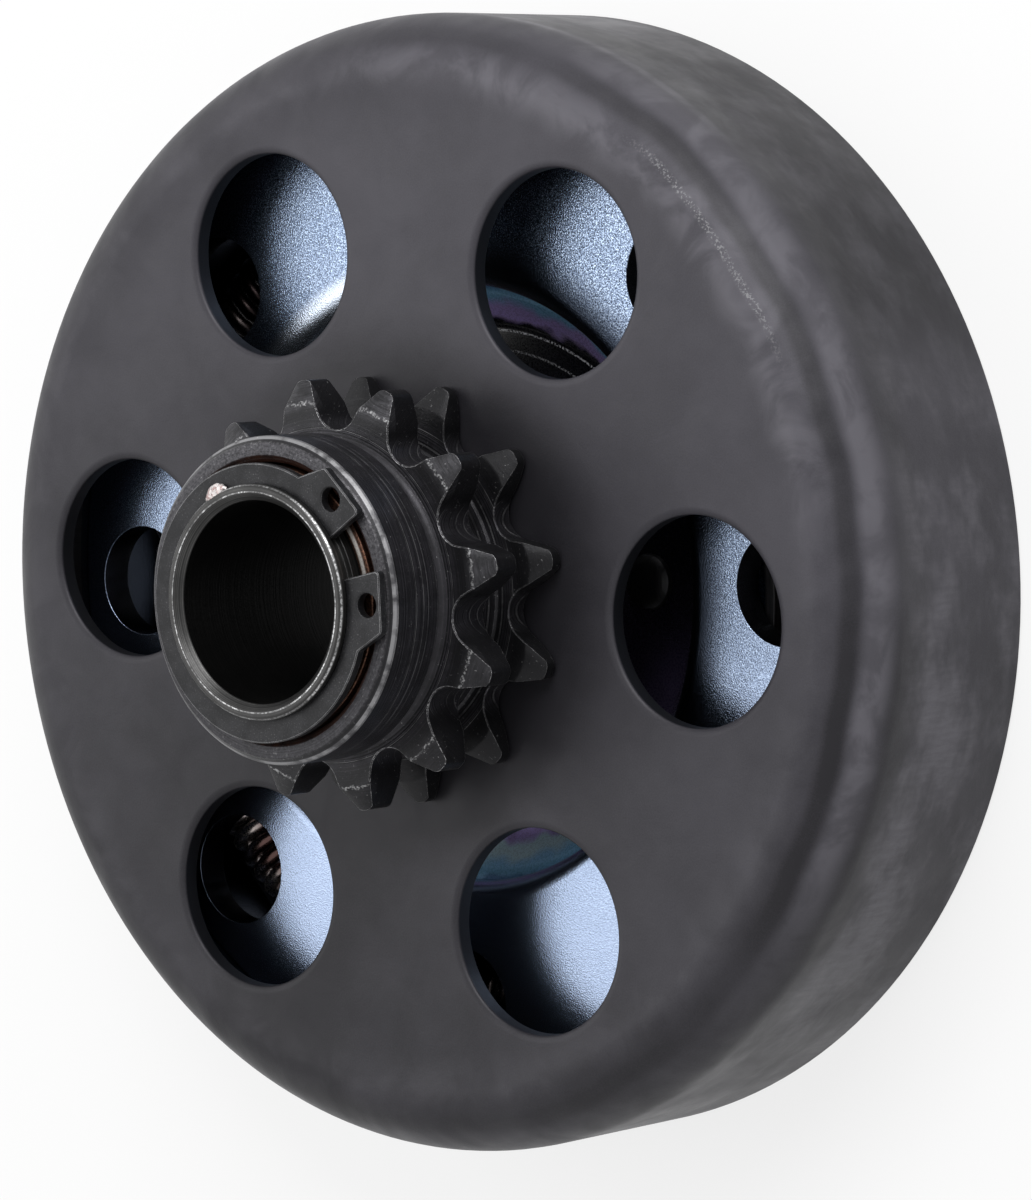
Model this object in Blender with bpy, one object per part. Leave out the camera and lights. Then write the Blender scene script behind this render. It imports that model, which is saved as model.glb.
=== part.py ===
"""Centrifugal clutch for a small engine: a pressed drum with a double-row chain sprocket,
running on a bush around the crankshaft hub, with two channel-section shoes inside that
a garter spring holds in and the engine's speed throws out.

Frame: +Z runs along the crankshaft axis from the drum's open rim (z = 0) to the sprocket,
and the drum's first window lies on +X. All lengths are in metres.
"""

import math

import bmesh
import bpy
from mathutils import Matrix, Vector

MM = 0.001

# Clearances
SEAT_GAP = 0.3 * MM          # between pieces that touch
GROOVE_PLAY = 0.15 * MM      # retaining ring in its groove
EDGE_BREAK = 0.4 * MM        # small chamfer on turned and sheared edges

# Drum
DRUM_DIAMETER = 110.4 * MM
DRUM_DEPTH = 25.0 * MM
DRUM_SHEET = 2.0 * MM
DRUM_CORNER_RADIUS = 6.5 * MM
WINDOW_COUNT = 6
WINDOW_DIAMETER = 19.8 * MM
WINDOW_INSET = 19.2 * MM     # windows' centres inside the drum's outside

# Crankshaft hub
BORE_DIAMETER = 19.05 * MM
HUB_WALL = 1.575 * MM        # journal's wall around the crankshaft bore
BOSS_SHOULDER = 4.4 * MM     # boss beyond the journal
BORE_CHAMFER = 0.75 * MM
KEYWAY_WIDTH = 4.76 * MM
KEYWAY_DEPTH = 2.3 * MM
KEYWAY_LENGTH = 18.0 * MM
HUB_LIFT = 0.3 * MM          # the hub's rear end above the drum's rim
HUB_LIP = 0.75 * MM          # journal left in front of the retaining ring's groove
HUB_LIP_CHAMFER = 0.3 * MM

# Bush and thrust washer
BUSH_WALL = 1.3 * MM
BUSH_RECESS = 0.4 * MM       # the bush's front end below the collar's face
WASHER_THICKNESS = 1.2 * MM
WASHER_WIDTH = 3.8 * MM

# Sprocket, heights above the drum's outer face
TEETH = 12
CHAIN_PITCH = 9.525 * MM
ROLLER_DIAMETER = 5.08 * MM
SEAT_HALF_ANGLE = 61.25      # half the angle over which the space fits the roller, degrees
FLANK_RADIUS = 10.5 * MM
TOOTH_PHASE = 12.9           # angle of the first tooth, degrees
REAR_ROW_FACE = 2.6 * MM
ROW_SPACING = 8.05 * MM
FRONT_ROW_WIDTH = 4.4 * MM
TOOTH_CHAMFER_RISE = 1.1 * MM
TOOTH_CHAMFER_DROP = 2.2 * MM
GROOVE_WALL = 1.3 * MM       # left around the bore between the rows
NECK_WALL = 1.6 * MM
NECK_LENGTH = 1.35 * MM
NECK_FILLET = 1.0 * MM
COLLAR_WALL = 2.5 * MM
COLLAR_LENGTH = 6.7 * MM
COLLAR_CHAMFER = 0.7 * MM
SPIGOT_WALL = 1.6 * MM
SWAGE_FLARE = 1.8 * MM
SWAGE_THICKNESS = 1.0 * MM

# Retaining ring
RING_THICKNESS = 1.0 * MM
RING_GROOVE_DEPTH = 0.6 * MM
RING_WIDTH = 2.85 * MM       # radial width opposite the gap
RING_ECCENTRICITY = 0.35 * MM
RING_LUG_REACH = 4.65 * MM   # lugs' ends and hole centres beyond the ring's inside
RING_HOLE_REACH = 2.75 * MM
RING_HOLE_DIAMETER = 2.3 * MM
RING_GAP_HALF_ANGLE = 10.8
RING_HOLE_ANGLE = 23.2
RING_LUG_END_ANGLE = 32.7
RING_SHOULDER_ANGLE = 41.5
RING_DIRECTION = 26.8        # direction of the ring's gap

# Shoes: a channel section bent to an arc, open towards the axis
SHOE_SETBACK = 7.0 * MM      # front web behind the drum's outer face
SHOE_WIDTH = 14.8 * MM
SHOE_SHEET = 3.4 * MM
SHOE_TRAVEL = 0.9 * MM
SHOE_RESERVE = 0.1 * MM      # left between shoe and drum at full travel
SHOE_WEB_WIDTH = 23.1 * MM
SHOE_OUTER_BEND = 4.0 * MM
SHOE_LIP_RADIUS = 2.3 * MM
SHOE_HOLE_DIAMETER = 11.0 * MM
SHOE_HOLE_ANGLES = (-67.5, -22.5, 22.5, 67.5)
SHOE_DIRECTIONS = {"a": 116.9, "b": 296.9}

# Garter spring
SPRING_INSET = 11.2 * MM     # centre of the coil, and the shoes' holes, inside their rubbing face
SPRING_COIL_DIAMETER = 7.2 * MM
SPRING_WIRE = 1.3 * MM
SPRING_PITCH = 1.6 * MM
SPRING_SIDES = 6

# Seat strip that holds the spring inside each shoe
STRIP_SHEET = 1.2 * MM

# Driver: dished front plate and two-lugged spider, both inside the shoes' channel, and rivets
PLATE_SHEET = 1.6 * MM
PLATE_RUN_GAP = 0.7 * MM     # plate's edge to the shoes' seat strips
DISH_DEPTH = 3.3 * MM
DISH_SLOPE = 3.6 * MM
LUG_WIDTH = 7.0 * MM
NOTCH_LAND = 0.1 * MM        # plate's flat rim left inside the lugs' notches
LUG_RUN_GAP = 0.6 * MM       # lug's end to the garter spring
LUG_SETBACK = 0.3 * MM       # lug's ends behind the outer faces of the shoes' webs
RIVET_COUNT = 8
RIVET_INSET = 4.0 * MM       # rivets' centres outside the plates' bores
RIVET_ROOM = 2.5 * MM        # floor of the dish beyond the rivets' heads
RIVET_SHANK = 3.0 * MM
RIVET_HEAD = 5.4 * MM
RIVET_HEAD_HEIGHT = 1.1 * MM

# Facets round a turn, and round a hole
DRUM_STEPS = 64
TURNED_STEPS = 44
SMALL_STEPS = 32
SHOE_STEPS = 20
STRIP_STEPS = 16
RIVET_STEPS = 8
WINDOW_SIDES = 28
SHOE_HOLE_SIDES = 18
RING_HOLE_SIDES = 16
RIVET_HOLE_SIDES = 10

# Derived heights on the axis
FACE_Z = DRUM_DEPTH
REAR_ROW_Z = FACE_Z + REAR_ROW_FACE
FRONT_ROW_Z = REAR_ROW_Z + ROW_SPACING
COLLAR_REAR_Z = FRONT_ROW_Z + NECK_LENGTH
COLLAR_FRONT_Z = COLLAR_REAR_Z + COLLAR_LENGTH
RING_Z = COLLAR_FRONT_Z + SEAT_GAP
RING_FRONT_Z = RING_Z + RING_THICKNESS
HUB_FRONT_Z = RING_FRONT_Z + GROOVE_PLAY + HUB_LIP
SWAGE_FRONT_Z = FACE_Z - DRUM_SHEET - SEAT_GAP
SWAGE_REAR_Z = SWAGE_FRONT_Z - SWAGE_THICKNESS
BUSH_REAR_Z = SWAGE_REAR_Z - SEAT_GAP
WASHER_FRONT_Z = BUSH_REAR_Z - SEAT_GAP
WASHER_REAR_Z = WASHER_FRONT_Z - WASHER_THICKNESS
SHOULDER_Z = WASHER_REAR_Z - SEAT_GAP
SHOE_FRONT_Z = FACE_Z - SHOE_SETBACK
SHOE_REAR_Z = SHOE_FRONT_Z - SHOE_WIDTH
SHOE_MIDDLE_Z = (SHOE_FRONT_Z + SHOE_REAR_Z) / 2
CHANNEL_FRONT_Z = SHOE_FRONT_Z - SHOE_SHEET
CHANNEL_REAR_Z = SHOE_REAR_Z + SHOE_SHEET
PLATE_FRONT_Z = CHANNEL_FRONT_Z - SEAT_GAP
DISH_FRONT_Z = PLATE_FRONT_Z - DISH_DEPTH
DISH_REAR_Z = DISH_FRONT_Z - PLATE_SHEET
SPIDER_FRONT_Z = DISH_REAR_Z - SEAT_GAP
SPIDER_REAR_Z = CHANNEL_REAR_Z + SEAT_GAP

# Derived radii
DRUM_RADIUS = DRUM_DIAMETER / 2
WINDOW_CIRCLE_RADIUS = DRUM_RADIUS - WINDOW_INSET
BORE_RADIUS = BORE_DIAMETER / 2
JOURNAL_RADIUS = BORE_RADIUS + HUB_WALL
BOSS_RADIUS = JOURNAL_RADIUS + BOSS_SHOULDER
RING_INNER_RADIUS = JOURNAL_RADIUS - RING_GROOVE_DEPTH + GROOVE_PLAY
BUSH_BORE_RADIUS = JOURNAL_RADIUS + SEAT_GAP
BUSH_RADIUS = BUSH_BORE_RADIUS + BUSH_WALL
SPROCKET_BORE_RADIUS = BUSH_RADIUS + SEAT_GAP
SPIGOT_RADIUS = SPROCKET_BORE_RADIUS + SPIGOT_WALL
PITCH_RADIUS = CHAIN_PITCH / (2 * math.sin(math.pi / TEETH))
TIP_RADIUS = CHAIN_PITCH / 2 * (0.6 + 1 / math.tan(math.pi / TEETH))
SEAT_RADIUS = 0.505 * ROLLER_DIAMETER
COLLAR_RADIUS = SPROCKET_BORE_RADIUS + COLLAR_WALL
SHOE_RADIUS = DRUM_RADIUS - DRUM_SHEET - SHOE_TRAVEL - SHOE_RESERVE
SHOE_INNER_RADIUS = SHOE_RADIUS - SHOE_WEB_WIDTH
SPRING_RADIUS = SHOE_RADIUS - SPRING_INSET
SPRING_COIL_RADIUS = SPRING_COIL_DIAMETER / 2
STRIP_OUTER_RADIUS = SPRING_RADIUS - SPRING_COIL_RADIUS - SEAT_GAP
STRIP_INNER_RADIUS = STRIP_OUTER_RADIUS - STRIP_SHEET
PLATE_RADIUS = STRIP_INNER_RADIUS - PLATE_RUN_GAP
LUG_OUTER_RADIUS = SPRING_RADIUS - SPRING_COIL_RADIUS - LUG_RUN_GAP
HUB_SEAT_RADIUS = BOSS_RADIUS + SEAT_GAP
RIVET_CIRCLE_RADIUS = HUB_SEAT_RADIUS + RIVET_INSET
DISH_BOTTOM_RADIUS = RIVET_CIRCLE_RADIUS + RIVET_HEAD / 2 + RIVET_ROOM
DISH_TOP_RADIUS = DISH_BOTTOM_RADIUS + DISH_SLOPE
LUG_INNER_RADIUS = DISH_TOP_RADIUS + NOTCH_LAND + SEAT_GAP
SHOE_END_OFFSET = LUG_WIDTH / 2 + SEAT_GAP
LUG_DIRECTION = SHOE_DIRECTIONS["a"] - 90.0
KEYWAY_DIRECTION = SHOE_DIRECTIONS["a"]

CUT_MARGIN = 1.0 * MM        # how far a cutter runs past what it cuts


def clear_scene():
    for item in list(bpy.data.objects):
        bpy.data.objects.remove(item)


def make_material(name, colour, roughness, metallic):
    material = bpy.data.materials.new(name)
    material.use_nodes = True
    shader = material.node_tree.nodes["Principled BSDF"]
    shader.inputs["Base Color"].default_value = (*colour, 1.0)
    shader.inputs["Roughness"].default_value = roughness
    shader.inputs["Metallic"].default_value = metallic
    return material


def make_empty(name, parent=None, turn=0.0):
    empty = bpy.data.objects.new(name, None)
    empty.rotation_euler = (0.0, 0.0, math.radians(turn))
    empty.parent = parent
    bpy.context.scene.collection.objects.link(empty)
    return empty


def add_object(name, mesh_data, parent, material=None):
    """Turn a bmesh into an object under its parent, with smooth round faces and sharp edges."""
    bmesh.ops.recalc_face_normals(mesh_data, faces=mesh_data.faces)
    mesh = bpy.data.meshes.new(name)
    mesh_data.to_mesh(mesh)
    mesh_data.free()
    mesh.shade_smooth()
    mesh.set_sharp_from_angle(angle=math.radians(32))
    item = bpy.data.objects.new(name, mesh)
    item.parent = parent
    bpy.context.scene.collection.objects.link(item)
    if material:
        mesh.materials.append(material)
    return item


def add_cutter(name, mesh_data, parent):
    item = add_object(name, mesh_data, parent)
    item.hide_render = True
    item.display_type = "WIRE"
    return item


def combine(item, other, operation="DIFFERENCE"):
    modifier = item.modifiers.new(operation.lower(), "BOOLEAN")
    modifier.operation = operation
    modifier.solver = "EXACT"
    modifier.object = other


def arc(centre_x, centre_y, radius, start, end, steps):
    """Points along an arc, from start to end in degrees, both ends included."""
    points = []
    for step in range(steps + 1):
        angle = math.radians(start + (end - start) * step / steps)
        points.append((centre_x + radius * math.cos(angle), centre_y + radius * math.sin(angle)))
    return points


def polar(radius, angle):
    return (radius * math.cos(math.radians(angle)), radius * math.sin(math.radians(angle)))


def mirrored(points, axis_z):
    """The same section points on the other side of a level, in reverse order."""
    return [(radius, 2 * axis_z - z) for radius, z in reversed(points)]


def turned(section, steps, start=0.0, sweep=360.0):
    """Spin a closed section of (radius, z) points round Z. Points on the axis become one."""
    mesh_data = bmesh.new()
    corners = [mesh_data.verts.new((radius, 0.0, z)) for radius, z in section]
    edges = [mesh_data.edges.new(pair) for pair in zip(corners, corners[1:])]
    if section[0][0] > 0.0:
        edges.append(mesh_data.edges.new((corners[-1], corners[0])))
    bmesh.ops.rotate(mesh_data, verts=corners, matrix=Matrix.Rotation(math.radians(start), 3, "Z"))
    bmesh.ops.spin(mesh_data, geom=corners + edges, cent=(0, 0, 0), axis=(0, 0, 1), dvec=(0, 0, 0),
                   angle=math.radians(sweep), steps=steps, use_merge=sweep == 360.0)
    bmesh.ops.remove_doubles(mesh_data, verts=mesh_data.verts, dist=0.001 * MM)
    return mesh_data


def extruded(mesh_data, outline, height):
    """Add a prism to the mesh: a closed outline of 3-D points, extruded by a vector."""
    corners = [mesh_data.verts.new(point) for point in outline]
    face = mesh_data.faces.new(corners)
    result = bmesh.ops.extrude_face_region(mesh_data, geom=[face], use_keep_orig=True)
    moved = [part for part in result["geom"] if isinstance(part, bmesh.types.BMVert)]
    bmesh.ops.translate(mesh_data, verts=moved, vec=height)


def prism(outline, low, high):
    mesh_data = bmesh.new()
    extruded(mesh_data, [(x, y, low) for x, y in outline], (0, 0, high - low))
    return mesh_data


def drilled(places, radius, low, high, sides):
    """Cylinders parallel to Z at the given (x, y) places, in one mesh, for cutting holes."""
    mesh_data = bmesh.new()
    first = 180.0 / sides
    for x, y in places:
        circle = arc(x, y, radius, first, first + 360.0, sides)[:-1]
        extruded(mesh_data, [(px, py, low) for px, py in circle], (0, 0, high - low))
    return mesh_data


def box(low, high):
    mesh_data = bmesh.new()
    size = Vector(high) - Vector(low)
    centre = (Vector(high) + Vector(low)) / 2
    place = Matrix.Translation(centre) @ Matrix.Diagonal((*size, 1.0))
    bmesh.ops.create_cube(mesh_data, size=1.0, matrix=place)
    return mesh_data


def ring_places(count, radius, first=0.0):
    return [polar(radius, first + 360.0 * index / count) for index in range(count)]


def build_drum_cup(parent, material):
    """Pressed cup: round face with six windows, rolled corner and plain open wall."""
    corner_r = DRUM_RADIUS - DRUM_CORNER_RADIUS
    corner_z = FACE_Z - DRUM_CORNER_RADIUS
    inside = DRUM_RADIUS - DRUM_SHEET
    hole = SPIGOT_RADIUS + SEAT_GAP
    section = [(DRUM_RADIUS - EDGE_BREAK, 0.0), (DRUM_RADIUS, EDGE_BREAK)]
    section += arc(corner_r, corner_z, DRUM_CORNER_RADIUS, 0, 90, 4)
    section += [(hole, FACE_Z), (hole, FACE_Z - DRUM_SHEET)]
    section += arc(corner_r, corner_z, DRUM_CORNER_RADIUS - DRUM_SHEET, 90, 0, 3)
    section += [(inside, EDGE_BREAK), (inside + EDGE_BREAK, 0.0)]
    drum = add_object("drum_cup", turned(section, DRUM_STEPS), parent, material)
    windows = drilled(ring_places(WINDOW_COUNT, WINDOW_CIRCLE_RADIUS), WINDOW_DIAMETER / 2,
                      FACE_Z - DRUM_SHEET - CUT_MARGIN, FACE_Z + CUT_MARGIN, WINDOW_SIDES)
    combine(drum, add_cutter("cut_windows", windows, parent))


def tooth_space():
    """Outline of the space between two teeth, centred on +X: a roller seat and two convex flanks."""
    reach = TIP_RADIUS + CUT_MARGIN
    half_angle = math.radians(SEAT_HALF_ANGLE)
    flank_x = PITCH_RADIUS - (SEAT_RADIUS + FLANK_RADIUS) * math.cos(half_angle)
    flank_y = (SEAT_RADIUS + FLANK_RADIUS) * math.sin(half_angle)
    # angle on the flank's arc at which it passes the cutter's outer reach
    distance = math.hypot(flank_x, flank_y)
    bearing = math.degrees(math.atan2(flank_y, flank_x))
    swing = (distance ** 2 + FLANK_RADIUS ** 2 - reach ** 2) / (2 * distance * FLANK_RADIUS)
    exit_angle = bearing - 180 + math.degrees(math.acos(swing))
    upper = arc(flank_x, flank_y, FLANK_RADIUS, -SEAT_HALF_ANGLE, exit_angle, 2)
    lower = [(x, -y) for x, y in reversed(upper)]
    bottom = arc(PITCH_RADIUS, 0, SEAT_RADIUS, 180 + SEAT_HALF_ANGLE, 180 - SEAT_HALF_ANGLE, 5)
    return lower + bottom[1:-1] + upper


def build_sprocket(parent, material):
    """One turned and hobbed piece: swaged spigot, two rows of teeth, neck and plain collar."""
    row_base = FACE_Z + SEAT_GAP
    groove = SPROCKET_BORE_RADIUS + GROOVE_WALL
    neck = SPROCKET_BORE_RADIUS + NECK_WALL
    chamfered = TIP_RADIUS - TOOTH_CHAMFER_DROP
    front_row_rear = FRONT_ROW_Z - FRONT_ROW_WIDTH
    flare = SPIGOT_RADIUS + SWAGE_FLARE
    section = [(SPROCKET_BORE_RADIUS, SWAGE_REAR_Z), (flare - EDGE_BREAK, SWAGE_REAR_Z),
               (flare, SWAGE_REAR_Z + EDGE_BREAK), (flare, SWAGE_FRONT_Z),
               (SPIGOT_RADIUS, SWAGE_FRONT_Z), (SPIGOT_RADIUS, row_base),
               (TIP_RADIUS, row_base), (TIP_RADIUS, REAR_ROW_Z - TOOTH_CHAMFER_RISE),
               (chamfered, REAR_ROW_Z), (groove, REAR_ROW_Z), (groove, front_row_rear),
               (chamfered, front_row_rear), (TIP_RADIUS, front_row_rear + TOOTH_CHAMFER_RISE / 2),
               (TIP_RADIUS, FRONT_ROW_Z - TOOTH_CHAMFER_RISE), (chamfered, FRONT_ROW_Z)]
    section += arc(neck + NECK_FILLET, FRONT_ROW_Z + NECK_FILLET, NECK_FILLET, 270, 180, 3)
    section += [(neck, COLLAR_REAR_Z), (COLLAR_RADIUS - EDGE_BREAK, COLLAR_REAR_Z),
                (COLLAR_RADIUS, COLLAR_REAR_Z + EDGE_BREAK),
                (COLLAR_RADIUS, COLLAR_FRONT_Z - COLLAR_CHAMFER),
                (COLLAR_RADIUS - COLLAR_CHAMFER, COLLAR_FRONT_Z),
                (SPROCKET_BORE_RADIUS + COLLAR_CHAMFER, COLLAR_FRONT_Z),
                (SPROCKET_BORE_RADIUS, COLLAR_FRONT_Z - COLLAR_CHAMFER)]
    sprocket = add_object("sprocket", turned(section, TURNED_STEPS), parent, material)
    spaces = bmesh.new()
    low = (row_base + SWAGE_FRONT_Z) / 2
    height = FRONT_ROW_Z + NECK_LENGTH / 2 - low
    for index in range(TEETH):
        turn = Matrix.Rotation(math.radians(TOOTH_PHASE + (index + 0.5) * 360 / TEETH), 3, "Z")
        extruded(spaces, [turn @ Vector((x, y, low)) for x, y in tooth_space()], (0, 0, height))
    combine(sprocket, add_cutter("cut_tooth_spaces", spaces, parent))


def build_bronze_bush(parent, material):
    top = COLLAR_FRONT_Z - BUSH_RECESS
    section = [(BUSH_BORE_RADIUS, BUSH_REAR_Z), (BUSH_RADIUS, BUSH_REAR_Z), (BUSH_RADIUS, top),
               (BUSH_BORE_RADIUS + EDGE_BREAK, top), (BUSH_BORE_RADIUS, top - EDGE_BREAK)]
    add_object("bronze_bush", turned(section, SMALL_STEPS), parent, material)


def build_thrust_washer(parent, material):
    outer = BUSH_BORE_RADIUS + WASHER_WIDTH
    section = [(BUSH_BORE_RADIUS, WASHER_REAR_Z), (outer, WASHER_REAR_Z),
               (outer, WASHER_FRONT_Z), (BUSH_BORE_RADIUS, WASHER_FRONT_Z)]
    add_object("rear_thrust_washer", turned(section, SMALL_STEPS), parent, material)


def build_driver_hub(parent, material):
    """Hub with the crankshaft bore: journal with the ring's groove, shoulder and keyed boss."""
    groove_rear = RING_Z - GROOVE_PLAY
    groove_front = RING_FRONT_Z + GROOVE_PLAY
    groove = JOURNAL_RADIUS - RING_GROOVE_DEPTH
    section = [(BORE_RADIUS + EDGE_BREAK, HUB_LIFT), (BORE_RADIUS, HUB_LIFT + EDGE_BREAK),
               (BORE_RADIUS, HUB_FRONT_Z - BORE_CHAMFER), (BORE_RADIUS + BORE_CHAMFER, HUB_FRONT_Z),
               (JOURNAL_RADIUS - HUB_LIP_CHAMFER, HUB_FRONT_Z),
               (JOURNAL_RADIUS, HUB_FRONT_Z - HUB_LIP_CHAMFER),
               (JOURNAL_RADIUS, groove_front), (groove, groove_front), (groove, groove_rear),
               (JOURNAL_RADIUS, groove_rear), (JOURNAL_RADIUS, SHOULDER_Z),
               (BOSS_RADIUS - EDGE_BREAK, SHOULDER_Z), (BOSS_RADIUS, SHOULDER_Z - EDGE_BREAK),
               (BOSS_RADIUS, HUB_LIFT + EDGE_BREAK), (BOSS_RADIUS - EDGE_BREAK, HUB_LIFT)]
    hub = add_object("driver_hub", turned(section, SMALL_STEPS), parent, material)
    half = KEYWAY_WIDTH / 2
    keyway = box((0, -half, HUB_LIFT - CUT_MARGIN),
                 (BORE_RADIUS + KEYWAY_DEPTH, half, HUB_LIFT + KEYWAY_LENGTH))
    cutter = add_cutter("cut_keyway", keyway, parent)
    cutter.rotation_euler = (0, 0, math.radians(KEYWAY_DIRECTION))
    combine(hub, cutter)


def build_retaining_ring(parent, material):
    """External retaining ring: eccentric outside, two pierced lugs beside the gap."""
    inner = RING_INNER_RADIUS
    outer = inner + RING_WIDTH - RING_ECCENTRICITY
    lug = inner + RING_LUG_REACH
    hole = inner + RING_HOLE_REACH
    outline = [polar(inner, RING_GAP_HALF_ANGLE), polar(lug, RING_GAP_HALF_ANGLE),
               polar(lug, RING_LUG_END_ANGLE)]
    outline += arc(-RING_ECCENTRICITY, 0, outer, RING_SHOULDER_ANGLE, 360 - RING_SHOULDER_ANGLE, 26)
    outline += [polar(lug, -RING_LUG_END_ANGLE), polar(lug, -RING_GAP_HALF_ANGLE)]
    outline += arc(0, 0, inner, -RING_GAP_HALF_ANGLE, RING_GAP_HALF_ANGLE - 360, 32)[:-1]
    ring = add_object("retaining_ring", prism(outline, RING_Z, RING_FRONT_Z), parent, material)
    ring.rotation_euler = (0, 0, math.radians(RING_DIRECTION))
    places = [polar(hole, RING_HOLE_ANGLE), polar(hole, -RING_HOLE_ANGLE)]
    holes = drilled(places, RING_HOLE_DIAMETER / 2, RING_Z - CUT_MARGIN, RING_FRONT_Z + CUT_MARGIN,
                    RING_HOLE_SIDES)
    cutter = add_cutter("cut_ring_holes", holes, parent)
    cutter.rotation_euler = ring.rotation_euler
    combine(ring, cutter)


def shoe_section():
    """Channel section: outer wall, two webs with rolled inner lips, open towards the axis."""
    lip_r = SHOE_INNER_RADIUS + SHOE_LIP_RADIUS
    lip_z = SHOE_FRONT_Z - SHOE_LIP_RADIUS
    bend_r = SHOE_RADIUS - SHOE_OUTER_BEND
    wall = SHOE_RADIUS - SHOE_SHEET
    front = [(SHOE_INNER_RADIUS + EDGE_BREAK, CHANNEL_FRONT_Z)]
    front += arc(lip_r, lip_z, SHOE_LIP_RADIUS, 180, 90, 2)
    front += arc(bend_r, SHOE_FRONT_Z - SHOE_OUTER_BEND, SHOE_OUTER_BEND, 90, 0, 3)
    inside = [(wall, CHANNEL_FRONT_Z - EDGE_BREAK), (wall - EDGE_BREAK, CHANNEL_FRONT_Z)]
    return front + mirrored(front, SHOE_MIDDLE_Z) + mirrored(inside, SHOE_MIDDLE_Z) + inside


def half_ring(section, steps):
    """A section swept half a turn about +X and cut square at both ends to clear the lugs."""
    mesh_data = turned(section, steps, start=-90.0, sweep=180.0)
    everything = mesh_data.verts[:] + mesh_data.edges[:] + mesh_data.faces[:]
    bmesh.ops.bisect_plane(mesh_data, geom=everything, plane_co=(SHOE_END_OFFSET, 0, 0),
                           plane_no=(1, 0, 0), clear_inner=True)
    bmesh.ops.holes_fill(mesh_data, edges=mesh_data.edges, sides=0)
    return mesh_data


def build_shoe(letter, parent, steel, strip_steel):
    """A shoe and the strip inside it that the garter spring bears on."""
    shoe = add_object("shoe_" + letter, half_ring(shoe_section(), SHOE_STEPS), parent, steel)
    places = [polar(SPRING_RADIUS, angle) for angle in SHOE_HOLE_ANGLES]
    holes = drilled(places, SHOE_HOLE_DIAMETER / 2, SHOE_REAR_Z - CUT_MARGIN,
                    SHOE_FRONT_Z + CUT_MARGIN, SHOE_HOLE_SIDES)
    combine(shoe, add_cutter("cut_holes_" + letter, holes, parent))
    low = CHANNEL_REAR_Z + SEAT_GAP
    high = CHANNEL_FRONT_Z - SEAT_GAP
    strip = [(STRIP_INNER_RADIUS, low), (STRIP_OUTER_RADIUS, low),
             (STRIP_OUTER_RADIUS, high), (STRIP_INNER_RADIUS, high)]
    add_object("spring_seat_" + letter, half_ring(strip, STRIP_STEPS), parent, strip_steel)


def build_garter_spring(parent, material):
    """Close-wound coil bent to a ring: ridges that wind round it like the wire's turns."""
    turns = round(2 * math.pi * SPRING_RADIUS / SPRING_PITCH)
    crest = SPRING_COIL_RADIUS
    valley = SPRING_COIL_RADIUS - SPRING_WIRE / 2
    count = 2 * turns
    mesh_data = bmesh.new()
    rows = []
    for index in range(count):
        coil_radius = crest if index % 2 == 0 else valley
        row = []
        for side in range(SPRING_SIDES):
            along = 2 * math.pi * (index / 2 + side / SPRING_SIDES) / turns
            across = 2 * math.pi * side / SPRING_SIDES
            reach = SPRING_RADIUS + coil_radius * math.cos(across)
            height = SHOE_MIDDLE_Z + coil_radius * math.sin(across)
            row.append(mesh_data.verts.new((reach * math.cos(along), reach * math.sin(along), height)))
        rows.append(row)
    for index in range(count):
        for side in range(SPRING_SIDES):
            last = side == SPRING_SIDES - 1
            here, beyond = rows[index], rows[(index + 1) % count]
            if last:
                far, near = rows[(index + 3) % count][0], rows[(index + 2) % count][0]
            else:
                far, near = beyond[side + 1], here[side + 1]
            mesh_data.faces.new((here[side], beyond[side], far, near))
    add_object("garter_spring", mesh_data, parent, material)


def rivet_holes(parent):
    """Cutter for the rivet holes that the driver's two plates share."""
    places = ring_places(RIVET_COUNT, RIVET_CIRCLE_RADIUS, 180 / RIVET_COUNT)
    holes = drilled(places, RIVET_SHANK / 2 + SEAT_GAP, SPIDER_REAR_Z - CUT_MARGIN,
                    DISH_FRONT_Z + CUT_MARGIN, RIVET_HOLE_SIDES)
    return add_cutter("cut_rivet_holes", holes, parent)


def lug_blocks(inner, outer, half_width, low, high):
    """Two blocks on opposite sides of the axis, for the spider's lugs and the plate's notches."""
    mesh_data = bmesh.new()
    for side in (1, -1):
        outline = [(side * inner, -half_width), (side * outer, -half_width),
                   (side * outer, half_width), (side * inner, half_width)]
        extruded(mesh_data, [(x, y, low) for x, y in outline], (0, 0, high - low))
    return mesh_data


def build_front_plate(parent, material, holes):
    """Dished plate inside the shoes' channel, notched for the lugs and riveted to the spider."""
    ring_rear = PLATE_FRONT_Z - PLATE_SHEET
    offset = PLATE_SHEET / 3
    blend_run, blend_drop = DISH_SLOPE / 4, DISH_DEPTH / 6
    section = [(HUB_SEAT_RADIUS, DISH_REAR_Z), (DISH_BOTTOM_RADIUS + offset, DISH_REAR_Z),
               (DISH_TOP_RADIUS + offset, ring_rear), (PLATE_RADIUS, ring_rear),
               (PLATE_RADIUS, PLATE_FRONT_Z), (DISH_TOP_RADIUS, PLATE_FRONT_Z),
               (DISH_TOP_RADIUS - blend_run, PLATE_FRONT_Z - blend_drop),
               (DISH_BOTTOM_RADIUS + blend_run, DISH_FRONT_Z + blend_drop),
               (DISH_BOTTOM_RADIUS, DISH_FRONT_Z), (HUB_SEAT_RADIUS, DISH_FRONT_Z)]
    plate = add_object("front_driver_plate", turned(section, TURNED_STEPS), parent, material)
    combine(plate, holes)
    notches = lug_blocks(LUG_INNER_RADIUS - SEAT_GAP, PLATE_RADIUS + CUT_MARGIN, SHOE_END_OFFSET,
                         DISH_REAR_Z - CUT_MARGIN, PLATE_FRONT_Z + CUT_MARGIN)
    combine(plate, add_cutter("cut_lug_notches", notches, parent))


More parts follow.
